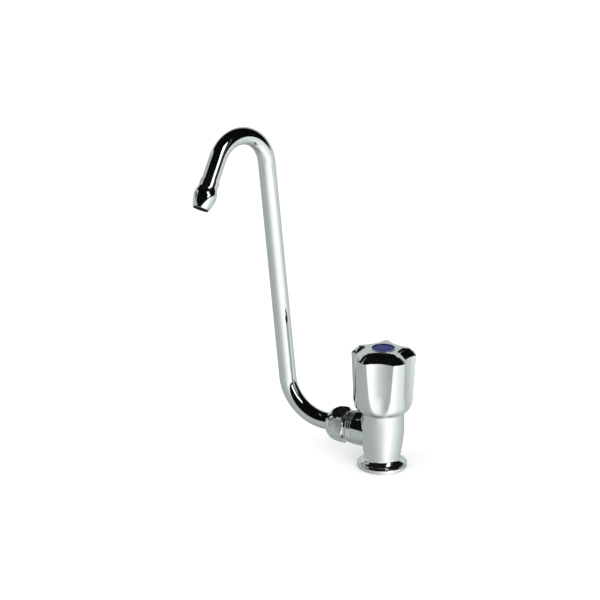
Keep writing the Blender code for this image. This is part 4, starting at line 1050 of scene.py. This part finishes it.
@dataclass
class Knob:
    """The hollow five-lobed knob and the blue disc in its top."""

    bottom: float = 0.0414
    height: float = 0.0446
    radius: float = 0.0225
    lower_radius: float = 0.0200
    foot_radius: float = 0.01497
    foot_round: float = 0.0085
    opening: float = 0.01307
    lobes: int = 5
    lobe_angle: float = radians(182.6)
    flute_depth: float = 0.0049
    flute_foot_step: float = 0.0030
    flute_arc: float = 0.0162
    flute_end: float = 0.0036
    flute_run_out: float = 0.0125
    flute_end_depth: float = 0.0013
    flute_end_power: float = 1.25
    bevel_width: float = 0.0043
    bevel_height: float = 0.0040
    crown_rise: float = 0.0010
    wall: float = 0.0022
    top_thickness: float = 0.0045
    rim_depth: float = 0.0022
    spline_teeth: int = 20
    spline_profile: Sequence[Point] = ((0.0, 1.0), (0.30, 1.0), (0.45, 0.0), (0.85, 0.0))
    spline_radius: float = 0.0043
    spline_depth: float = 0.0005
    boss_wall: float = 0.0024
    boss_bottom: float = 0.0614
    well_radius: float = 0.0070
    well_depth: float = 0.0090
    well_wall: float = 0.0020
    web_thickness: float = 0.0031
    screw_hole: float = 0.0023
    index_ledge: float = 0.0006
    index_thickness: float = 0.0016
    index_dome: float = 0.0004
    index_skirt_depth: float = 0.0022
    index_skirt_wall: float = 0.0009
    lip_width: float = 0.0008
    lip_height: float = 0.0003
    edge_blend: float = 0.00011
    bevel_round: float = 0.00035
    points_around: int = 360
    side_steps: int = 16
    foot_steps: int = 12
    crown_steps: int = 8
    lip_steps: int = 4
    dome_steps: int = 12

    @property
    def shoulder(self) -> float:
        """Height where the bevel ends and the crown starts."""
        return self.bottom + self.height

    @property
    def bevel_bottom(self) -> float:
        """Height where the side ends and the bevel starts."""
        return self.shoulder - self.bevel_height

    @property
    def crown(self) -> float:
        """Height of the crown round the disc."""
        return self.shoulder + self.crown_rise

    @property
    def disc_radius(self) -> float:
        """Radius of the blue disc."""
        return self.well_radius + self.index_ledge

    @property
    def ledge_height(self) -> float:
        """Height of the ledge that the disc lies on."""
        return self.crown - self.index_thickness - SEAT_GAP

    @property
    def ceiling(self) -> float:
        """Height where the splined socket ends, under the web with the screw's hole."""
        return self.shoulder - self.well_depth - self.web_thickness

    @property
    def angles(self) -> list[float]:
        """Directions of the points of an outline."""
        return [tau * share for share in shares(self.points_around)[:-1]]

    def lobe_radius(self, height: float) -> float:
        """Radius of the lobes: a slow taper above, rounded in towards the foot.

        Args:
            height: The height that is meant.

        Returns:
            The radius there.
        """
        share = (height - self.bottom) / (self.bevel_bottom - self.bottom)
        radius = self.lower_radius + (self.radius - self.lower_radius) * share
        below = max(0.0, 1.0 - (height - self.bottom) / self.foot_round)
        rounding = 1.0 - sqrt(max(0.0, 1.0 - below**2))
        return radius - (self.lower_radius - self.foot_radius) * rounding

    def flute_radius(self, height: float) -> float:
        """Distance from the axis to the bottom of the flutes, which sweep out above the foot.

        Args:
            height: The height that is meant.

        Returns:
            The distance there.
        """
        share = (height - self.bottom) / (self.bevel_bottom - self.bottom)
        foot = self.foot_radius + self.flute_foot_step
        run_out = (self.bottom + self.flute_end + self.flute_run_out - height) / self.flute_run_out
        swept = self.flute_end_depth * max(0.0, run_out) ** self.flute_end_power
        return foot + (self.radius - self.flute_depth - foot) * share + swept

    def radius_at(self, angle: float, height: float, inset: float) -> float:
        """Radius of the lobed outline in one direction.

        Args:
            angle: The direction about the axis.
            height: The height whose outline is meant.
            inset: How far the outline is moved inwards.

        Returns:
            The smaller of lobe circle and flute circle, blended where they meet.
        """
        lobe = self.lobe_radius(height) - inset
        reach = self.flute_radius(height) + self.flute_arc
        flute_arc = self.flute_arc + inset
        pitch = tau / self.lobes
        offset = (angle - self.lobe_angle) % pitch - pitch / 2
        under = flute_arc**2 - (reach * sin(offset)) ** 2
        if under <= 0.0:
            return lobe
        flute = reach * cos(offset) - sqrt(under)
        blend = log1p(exp(-abs(flute - lobe) / self.edge_blend))
        return min(lobe, flute) - self.edge_blend * blend

    def outline(
        self, height: float, inset: float = 0.0, level: float | None = None
    ) -> list[Vector]:
        """The knob's outline at a height.

        Args:
            height: The height whose outline is meant.
            inset: How far the outline is moved inwards.
            level: Where the outline lies, if not at its height.

        Returns:
            The points of the outline.
        """
        z = height if level is None else level
        radii = [self.radius_at(angle, height, inset) for angle in self.angles]
        return [Vector((r * cos(a), r * sin(a), z)) for r, a in zip(radii, self.angles)]

    def circle(self, radius: float, level: float) -> list[Vector]:
        """A round outline with as many points as the lobed ones."""
        return [Vector((radius * cos(a), radius * sin(a), level)) for a in self.angles]

    def side_levels(self, start: float, stop: float) -> list[float]:
        """Heights of the side's outlines: close together on the rounded foot, then even.

        Args:
            start: The lowest height that is wanted.
            stop: The greatest height.

        Returns:
            The heights, from low to high.
        """
        foot_top = self.bottom + self.foot_round
        turns = [pi / 2 * share for share in shares(self.foot_steps)[:-1]]
        levels = [foot_top - self.foot_round * cos(turn) for turn in turns]
        levels += [foot_top + (stop - foot_top) * share for share in shares(self.side_steps)]
        return [level for level in levels if level >= start]

    def shell(self) -> BMesh:
        """The outer form: rounded foot, tapering lobes and flutes, rounded bevel and low crown.

        Returns:
            The solid that the knob is cut from.
        """
        corners: list[Corner] = [
            (0.0, self.bottom, 0.0),
            (0.0, self.bevel_bottom, self.bevel_round),
            (self.bevel_width, self.shoulder, self.bevel_round),
            (2 * self.bevel_width, self.shoulder, 0.0),
        ]
        bevel = [point for point in filleted(corners) if point[1] > self.bottom][:-1]
        rings = [self.outline(level) for level in self.side_levels(self.bottom, bevel[0][1])[:-1]]
        for inset, level in bevel:
            rings.append(self.outline(min(level, self.bevel_bottom), inset, level))
        crown_radius = self.disc_radius + SEAT_GAP + self.lip_width
        edge = rings[-1]
        goal = self.circle(crown_radius, self.crown)
        for share in shares(self.crown_steps, 1):
            ring = [near.lerp(far, share) for near, far in zip(edge, goal)]
            for point, near, far in zip(ring, edge, goal):
                point.z = near.z + (far.z - near.z) * sin(share * pi / 2)
            rings.append(ring)
        for share in shares(self.lip_steps, 1):
            turn = pi / 2 * share
            radius = crown_radius - self.lip_height * (1 - cos(turn))
            rings.append(self.circle(radius, self.crown + self.lip_height * sin(turn)))
        return skinned(rings)

    def cavity(self) -> BMesh:
        """The hollow under the knob, which follows the lobes at an even wall.

        Returns:
            The solid that is cut out from below.
        """
        start = self.bottom + self.rim_depth
        slope = start + self.wall
        top = self.shoulder - self.top_thickness
        rings = [self.circle(self.opening, level) for level in (self.bottom - OVERSHOOT, start)]
        levels = self.side_levels(slope, top - self.wall)
        rings += [self.outline(level, self.wall) for level in levels]
        rings.append(self.outline(top - self.wall, 2 * self.wall, top))
        return skinned(rings)

    def boss(self) -> BMesh:
        """The stepped boss inside: narrow round the splines, wide round the screw's well.

        Returns:
            The solid that is joined to the hollow shell.
        """
        narrow = self.spline_radius + self.boss_wall
        wide = self.well_radius + self.well_wall
        top = self.shoulder - self.top_thickness + OVERSHOOT
        corners = [
            (0.0, self.boss_bottom, 0.0),
            (narrow, self.boss_bottom, EDGE_BREAK),
            (narrow, self.ceiling - (wide - narrow), 0.0),
            (wide, self.ceiling, 0.0),
            (wide, top, 0.0),
            (0.0, top, 0.0),
        ]
        return turned(filleted(corners), self.points_around // 4)

    def well(self) -> BMesh:
        """The recess for the disc, the screw's well and its hole.

        Returns:
            The solid that is cut out from above.
        """
        web_top = self.shoulder - self.well_depth
        recess = self.disc_radius + SEAT_GAP
        outline = [
            (0.0, self.ceiling - OVERSHOOT),
            (self.screw_hole, self.ceiling - OVERSHOOT),
            (self.screw_hole, web_top),
            (self.well_radius, web_top),
            (self.well_radius, self.ledge_height),
            (recess, self.ledge_height),
            (recess, self.crown + OVERSHOOT),
            (0.0, self.crown + OVERSHOOT),
        ]
        return turned(outline, self.points_around // 2)

    def spline_socket(self) -> BMesh:
        """The splined socket that sits on the spindle.

        Returns:
            The solid that is cut out of the boss.
        """
        points = []
        for tooth in range(self.spline_teeth):
            for share, depth in self.spline_profile:
                angle = tau * (tooth + share) / self.spline_teeth
                radius = self.spline_radius - depth * self.spline_depth
                points.append((radius * cos(angle), radius * sin(angle)))
        start = self.boss_bottom - OVERSHOOT
        return prism(points, start, self.ceiling - start)

    def disc(self) -> BMesh:
        """The domed disc with its rounded edge and the skirt that snaps into the well.

        Returns:
            The disc.
        """
        bottom = self.ledge_height + SEAT_GAP
        skirt = self.well_radius - SEAT_GAP
        foot = bottom - self.index_skirt_depth
        edge = self.crown - EDGE_BREAK
        corners: list[Corner] = [
            (0.0, bottom, 0.0),
            (skirt - self.index_skirt_wall, bottom, 0.0),
            (skirt - self.index_skirt_wall, foot, 0.0),
            (skirt, foot, EDGE_BREAK),
            (skirt, bottom, 0.0),
            (self.disc_radius, bottom, 0.0),
            (self.disc_radius, edge, EDGE_BREAK),
        ]
        for share in shares(self.dome_steps, 1):
            rise = self.index_dome * (1 - (1 - share) ** 2)
            corners.append((self.disc_radius * (1 - share), edge + rise, 0.0))
        return turned(filleted(corners), self.points_around // 3)

    def build(self) -> None:
        """Make and dress the knob and its disc."""
        knob = Workpiece("fluted_knob", self.shell())
        knob.shape(Shaping.CUT, self.cavity())
        knob.shape(Shaping.JOIN, self.boss())
        knob.shape(Shaping.CUT, self.well())
        knob.shape(Shaping.CUT, self.spline_socket())
        knob.finished(Body.KNOB, "handle_knob", KNOB_CHROME)
        Workpiece("cold_index", self.disc()).finished(Body.KNOB, "index_disc", COLD_BLUE)


class TubeBend:
    """A tube grown along its centre line by straight extrusions and spins."""

    def __init__(
        self, radius: float, wall: float, start: float, facets: int, bend_step: float
    ) -> None:
        """Start with the tube's end ring, facing along +Z.

        Args:
            radius: Outer radius of the tube.
            wall: Its wall.
            start: Height of the end ring.
            facets: Number of facets around.
            bend_step: Largest angle of one step round a bend.
        """
        self.bend_step = bend_step
        self.bm = bmesh.new()
        self.place = Vector((0.0, 0.0, start))
        self.heading = Vector((0.0, 0.0, 1.0))
        seat = Matrix.Translation(self.place)
        loops = []
        for size in (radius, radius - wall):
            ring = bmesh.ops.create_circle(self.bm, segments=facets, radius=size, matrix=seat)
            loops += {edge for point in ring["verts"] for edge in point.link_edges}
        bmesh.ops.bridge_loops(self.bm, edges=loops)
        self.end = self.bm.verts[:] + self.bm.edges[:] + self.bm.faces[:]

    def straight(self, length: float) -> None:
        """Grow the tube straight ahead.

        Args:
            length: How far the tube grows.
        """
        self.end = bmesh.ops.extrude_face_region(self.bm, geom=self.end)["geom"]
        points = [item for item in self.end if isinstance(item, BMVert)]
        bmesh.ops.translate(self.bm, verts=points, vec=self.heading * length)
        self.place += self.heading * length

    def bend(self, radius: float, angle: float, towards: Vector) -> None:
        """Grow the tube round a bend.

        Args:
            radius: Radius of the centre line.
            angle: How far the tube turns.
            towards: The direction that it turns towards.
        """
        side = (towards - self.heading * towards.dot(self.heading)).normalized()
        axis = self.heading.cross(side)
        centre = self.place + side * radius
        self.end = bmesh.ops.spin(
            self.bm,
            geom=self.end,
            cent=centre,
            axis=axis,
            angle=angle,
            steps=ceil(angle / self.bend_step),
        )["geom_last"]
        turn = Matrix.Rotation(angle, 3, axis)
        self.place = centre + turn @ (self.place - centre)
        self.heading = turn @ self.heading


@dataclass
class Spout:
    """The bent tube, the nozzle over its end and the black insert in the mouth."""

    tube_wall: float = 0.0010
    tube_start: float = 0.0307
    tube_run: float = 0.0442
    lower_radius: float = 0.0309
    lower_angle: float = radians(84.0)
    riser_length: float = 0.1548
    hook_radius: float = 0.0234
    hook_angle: float = radians(147.5)
    hook_turn: float = radians(72.0)
    leg_length: float = 0.0233
    nozzle_length: float = 0.0198
    socket_depth: float = 0.0080
    lip_wall: float = 0.0003
    bulge_step: float = 0.0019
    taper_length: float = 0.0096
    taper_power: float = 1.6
    flare_length: float = 0.0060
    nozzle_steps: int = 24
    bore_radius: float = 0.0050
    mouth_wall: float = 0.0009
    insert_length: float = 0.0070
    insert_wall: float = 0.0008
    insert_lip_width: float = 0.0007
    insert_lip_height: float = 0.0006
    insert_rib: float = 0.0007
    insert_round: float = 0.0002
    facets: int = 96
    nozzle_facets: int = 128
    bend_step: float = radians(2.0)

    def tube(self) -> tuple[BMesh, Matrix]:
        """The bent tube along the outlet.

        Returns:
            Its mesh, and the place of the nozzle's mouth with +Z pointing back up the leg.
        """
        bend = TubeBend(TUBE_RADIUS, self.tube_wall, self.tube_start, self.facets, self.bend_step)
        bend.straight(self.tube_run - self.tube_start)
        bend.bend(self.lower_radius, self.lower_angle, Vector((1.0, 0.0, 0.0)))
        bend.straight(self.riser_length)
        outwards = Vector((0.0, -sin(self.hook_turn), cos(self.hook_turn)))
        bend.bend(self.hook_radius, self.hook_angle, outwards)
        bend.straight(self.leg_length)
        overhang = self.nozzle_length - self.socket_depth + SEAT_GAP
        mouth = bend.place + bend.heading * overhang
        turn = (-bend.heading).to_track_quat("Z", "Y").to_matrix().to_4x4()
        return closed_up(bend.bm), Matrix.Translation(mouth) @ turn

    def nozzle(self) -> BMesh:
        """The turned nozzle: rounded taper, soft bulge, and an easy flare down from the tube.

        Returns:
            The nozzle, with its mouth at the origin.
        """
        lip = TUBE_RADIUS + SEAT_GAP + self.lip_wall
        mouth = self.bore_radius + self.mouth_wall
        bulge = TUBE_RADIUS + self.bulge_step
        edge = (mouth - EDGE_BREAK, EDGE_BREAK)
        points = arc(edge, EDGE_BREAK, -pi / 2, 0.0, BREAK_STEPS)
        for share in shares(self.nozzle_steps, 1):
            grown = (bulge - mouth) * (1 - (1 - share) ** self.taper_power)
            height = EDGE_BREAK + (self.taper_length - EDGE_BREAK) * share
            points.append((mouth + grown, height))
        for share in shares(self.nozzle_steps, 1):
            radius = lip + (bulge - lip) * (1 + cos(pi * share)) / 2
            points.append((radius, self.taper_length + self.flare_length * share))
        socket = self.nozzle_length - self.socket_depth
        points += [
            (lip, self.nozzle_length),
            (TUBE_RADIUS + SEAT_GAP, self.nozzle_length),
            (TUBE_RADIUS + SEAT_GAP, socket),
            (self.bore_radius, socket),
            (self.bore_radius, 0.0),
        ]
        return turned(points, self.nozzle_facets)

    def insert(self) -> Workpiece:
        """The ribbed plastic insert in the mouth.

        Returns:
            The insert, placed as the nozzle is.
        """
        outer = self.bore_radius - SEAT_GAP
        inner = outer - self.insert_wall
        top = -SEAT_GAP
        bottom = top - self.insert_lip_height
        lip = outer + self.insert_lip_width
        corners = [
            (inner, bottom, self.insert_round),
            (lip, bottom, self.insert_round),
            (lip, top, 0.0),
            (outer, top, 0.0),
            (outer, bottom + self.insert_length, 0.0),
            (inner, bottom + self.insert_length, 0.0),
        ]
        ring = Workpiece("mouth_insert", turned(filleted(corners), self.nozzle_facets // 2))
        length = 2 * inner + self.insert_wall
        depth = self.insert_length - 4 * EDGE_BREAK
        middle = (0.0, 0.0, bottom + self.insert_length / 2)
        ring.shape(Shaping.JOIN, block((length, self.insert_rib, depth), middle))
        return ring.shape(Shaping.JOIN, block((self.insert_rib, length, depth), middle))

    def build(self) -> None:
        """Make and dress the tube, the nozzle and the insert."""
        tube, mouth = self.tube()
        Workpiece("bent_tube", tube).finished(Body.SPOUT, "spout_tube", BRIGHT_CHROME, OUTLET)
        nozzle = Workpiece("mouth_nozzle", self.nozzle())
        nozzle.finished(Body.SPOUT, "nozzle", BRIGHT_CHROME, OUTLET @ mouth)
        self.insert().finished(Body.SPOUT, "flow_straightener", BLACK_PLASTIC, OUTLET @ mouth)


@dataclass(frozen=True)
class Innards:
    """The solids that stay as they are and only get their finish."""

    finishes: Sequence[tuple[Finish, Sequence[str]]] = (
        (RUBBER, ("base_seal", "seat_washer", "lower_spindle_ring", "upper_spindle_ring")),
        (RUBBER, ("inner_spout_ring", "outer_spout_ring")),
        (BRASS, ("bonnet", "spindle", "valve_carrier", "washer_screw", "spout_ferrule")),
        (STEEL, ("handle_screw", "spindle_circlip")),
        (ACETAL, ("inner_slip_washer", "outer_slip_washer", "thrust_washer")),
        (FIBRE, ("bonnet_gasket",)),
    )

    def dress(self) -> None:
        """Put each solid's finish on it."""
        for finish, nodes in self.finishes:
            for node in nodes:
                finish.dress(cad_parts[node])
                log.info("%s gets %s", node, finish.name)


# The studio


@dataclass(frozen=True)
class Panel:
    """A soft-edged patch of the room that the chrome mirrors, with its limits in degrees."""

    sides: Span
    ends: Span
    softness: Span
    strength: float

    def seen(self, around: Term, height: Term) -> Term:
        """How strongly the patch shows in a direction."""
        across = around.between(*self.sides, self.softness[0])
        return across * height.between(*self.ends, self.softness[1]) * self.strength


WINDOW = Panel(sides=(27.0, 50.0), ends=(3.0, 51.0), softness=(0.8, 1.0), strength=1.7)
DIM_BAR = Panel(sides=(58.5, 65.5), ends=(-9.0, 46.0), softness=(1.0, 2.0), strength=0.07)
SHADE = Panel(sides=(-126.0, -91.0), ends=(4.0, 15.0), softness=(3.0, 1.5), strength=0.85)

# Each table goes by the angle from the camera side to the picture's right, in degrees.
# Height of the pale part's upper edge
PALE_TOPS = (
    *((-180, 30), (-150, 24), (-122, 22), (-108, 33), (-92, 32), (-82, 6), (-62, 5)),
    *((-50, 0), (-38, -3), (46, -3), (58, -7.5), (80, -7.5), (92, -4), (112, -3)),
    *((128, 6), (150, 24), (168, 31), (180, 30)),
)
# Brightness of the floor that the chrome mirrors
FLOOR_TONES = (
    *((-180, 0.45), (-150, 0.465), (-70, 0.49), (-50, 0.545), (-38, 0.60), (-20, 0.70)),
    *((-8, 0.81), (3, 0.98), (12, 1.12), (22, 1.28), (42, 1.28), (54, 1.10), (66, 0.98)),
    *((80, 0.90), (100, 0.75), (125, 0.64), (150, 0.53), (180, 0.45)),
)
# Brightness of the backdrop above the floor
WALL_TONES = (
    *((-180, 0.60), (-150, 0.66), (-100, 0.60), (-75, 0.46), (-40, 0.50), (-8, 1.20)),
    *((60, 1.30), (85, 0.80), (120, 0.64), (150, 0.66), (180, 0.60)),
)


@dataclass
class Studio:
    """Camera, pale floor, soft lamps, and the room that the chrome mirrors."""

    azimuth: float = radians(29.0)
    elevation: float = radians(20.0)
    distance: float = 1.8
    across: float = -0.05694
    above: float = 0.11458
    lens: float = 155.5
    sensor: float = 36.0
    floor_size: float = 12.0
    floor_colour: Colour = (0.95, 0.95, 0.95)
    floor_roughness: float = 0.9
    camera_lift: float = 0.2
    room_light: float = 0.82
    lamp_size: float = 1.1
    lamp_power: float = 9.0
    key_place: Corner = (-0.9, -1.3, 1.7)
    fill_place: Corner = (1.5, -0.7, 1.5)
    dark: float = 0.003
    top_span: Span = (-10.0, 90.0)
    top_softness: float = 1.5
    tone_span: Span = (0.0, 1.4)
    wall_rise: Span = (-22.0, -4.0)
    near_floor: Span = (-78.0, -42.0)
    near_tone: float = 0.58
    tint: Colour = (0.91, 1.0, 0.965)
    tint_gap: Span = (-30.0, 75.0)
    tint_softness: float = 25.0

    def set_camera(self) -> None:
        """Put the camera where the photograph was taken from."""
        level = cos(self.elevation)
        towards = (sin(self.azimuth) * level, -cos(self.azimuth) * level, sin(self.elevation))
        back = Vector(towards)
        right = Vector((cos(self.azimuth), sin(self.azimuth), 0.0))
        data = bpy.data.cameras.new("studio_camera")
        data.lens = self.lens
        data.sensor_width = self.sensor
        camera = linked("studio_camera", data)
        sideways = right * self.across + back.cross(right) * self.above
        camera.location = back * self.distance + sideways
        camera.rotation_euler = back.to_track_quat("Z", "Y").to_euler()
        bpy.context.scene.camera = camera

    def floor_sockets(self, sheet: NodeSheet) -> dict:
        """Wire the floor's matt paint, which only the camera sees lifted.

        Args:
            sheet: The paint's node sheet.

        Returns:
            Values and links of the Principled shader's inputs.
        """
        seen = Term(sheet, sheet.add("ShaderNodeLightPath").outputs["Is Camera Ray"])
        return {
            "Base Color": (*self.floor_colour, 1.0),
            "Roughness": self.floor_roughness,
            "Specular IOR Level": 0.0,
            "Emission Color": sheet.mixed(seen, (0.0, 0.0, 0.0), (self.camera_lift,) * 3),
            "Emission Strength": 1.0,
        }

    def lay_floor(self) -> None:
        """Lay the pale floor, which the chrome doesn't mirror because the room's world gives it."""
        bm = bmesh.new()
        bmesh.ops.create_grid(bm, x_segments=1, y_segments=1, size=self.floor_size / 2)
        floor = meshed("studio_floor", bm)
        floor.visible_glossy = False
        floor.data.materials.append(principled("floor_paint", self.floor_sockets))

    def hang_lamps(self) -> None:
        """Hang a broad soft lamp on each side, out of the chrome's sight."""
        for name, place in (("key_lamp", self.key_place), ("fill_lamp", self.fill_place)):
            data = bpy.data.lights.new(name, "AREA")
            data.size = self.lamp_size
            data.energy = self.lamp_power
            lamp = linked(name, data)
            lamp.location = place
            lamp.rotation_euler = Vector(place).to_track_quat("Z", "Y").to_euler()
            lamp.visible_glossy = False

    @staticmethod
    def looked_up(sheet: NodeSheet, turn: Term, table: Sequence[Point], span: Span) -> Term:
        """Look a table of values by angle up, on a ramp that holds them as shares of a span.

        Args:
            sheet: The world's node sheet.
            turn: The direction, as a share of the full turn.
            table: Pairs of angle in degrees and value.
            span: The least and the greatest value that the ramp can hold.

        Returns:
            The value in that direction.
        """
        least, width = span[0], span[1] - span[0]
        stops = [((angle + 180.0) / 360.0, (value - least) / width) for angle, value in table]
        return sheet.ramp(turn, stops) * width + least

    def mirrored_room(self, sheet: NodeSheet) -> NodeSocket:
        """What the chrome sees: a pale floor and backdrop, a dark room and one white window.

        Args:
            sheet: The world's node sheet.

        Returns:
            The room's colour in the direction of the ray.
        """
        x, y, z = sheet.parts_of(sheet.add("ShaderNodeTexCoord").outputs["Generated"])
        to_right = x * cos(self.azimuth) + y * sin(self.azimuth)
        to_camera = x * sin(self.azimuth) - y * cos(self.azimuth)
        around = to_right.angle_to(to_camera) * degrees(1.0)
        height = z.arcsine() * degrees(1.0)
        turn = (around + 180.0) / 360.0
        edge = self.looked_up(sheet, turn, PALE_TOPS, self.top_span) - height
        pale = edge.step_up(-self.top_softness, self.top_softness)
        pale = pale * (1.0 - SHADE.seen(around, height))
        wall = self.looked_up(sheet, turn, WALL_TONES, self.tone_span)
        floor = self.looked_up(sheet, turn, FLOOR_TONES, self.tone_span)
        high = height.step_up(*self.wall_rise)
        low = height.step_up(*self.near_floor) * (1.0 - self.near_tone) + self.near_tone
        tone = (wall * high + floor * (1.0 - high)) * low
        rest = self.dark + WINDOW.seen(around, height) + DIM_BAR.seen(around, height)
        lit = tone * pale + (1.0 - pale) * rest
        untinted = around.between(*self.tint_gap, self.tint_softness)
        green = sheet.mixed(untinted, self.tint, (1.0, 1.0, 1.0))
        values = {0: green, "Scale": lit}
        return sheet.add("ShaderNodeVectorMath", {"operation": "SCALE"}, values).outputs[0]

    def light_room(self) -> None:
        """Make the world: white to the camera, the room to the chrome, else a plain level."""
        world = bpy.data.worlds.new("studio_room")
        world.use_nodes = True
        bpy.context.scene.world = world
        sheet = NodeSheet(world.node_tree)
        rays = sheet.add("ShaderNodeLightPath").outputs
        colours = ((self.room_light,) * 3 + (1.0,), self.mirrored_room(sheet), (1.0, 1.0, 1.0, 1.0))
        plain, room, white = (
            sheet.add("ShaderNodeBackground", sockets={"Color": colour}).outputs[0]
            for colour in colours
        )
        mirrored = {0: rays["Is Glossy Ray"], 1: plain, 2: room}
        unseen = sheet.add("ShaderNodeMixShader", sockets=mirrored).outputs[0]
        seen = {0: rays["Is Camera Ray"], 1: unseen, 2: white}
        final = sheet.add("ShaderNodeMixShader", sockets=seen).outputs[0]
        sheet.add("ShaderNodeOutputWorld", sockets={"Surface": final})

    def build(self) -> None:
        """Set the whole studio up."""
        bpy.context.scene.view_settings.view_transform = "Standard"
        self.set_camera()
        self.light_room()
        self.lay_floor()
        self.hang_lamps()
        log.info("studio ready")


def main() -> None:
    """Build the studio and the tap."""
    logging.basicConfig(level=logging.INFO, format="%(name)s: %(message)s")
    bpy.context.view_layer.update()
    Studio().build()
    for sub_assembly in (Casting(), UnionNut(), Knob(), Spout()):
        sub_assembly.build()
    Innards().dress()


if __name__ == "__main__":
    main()
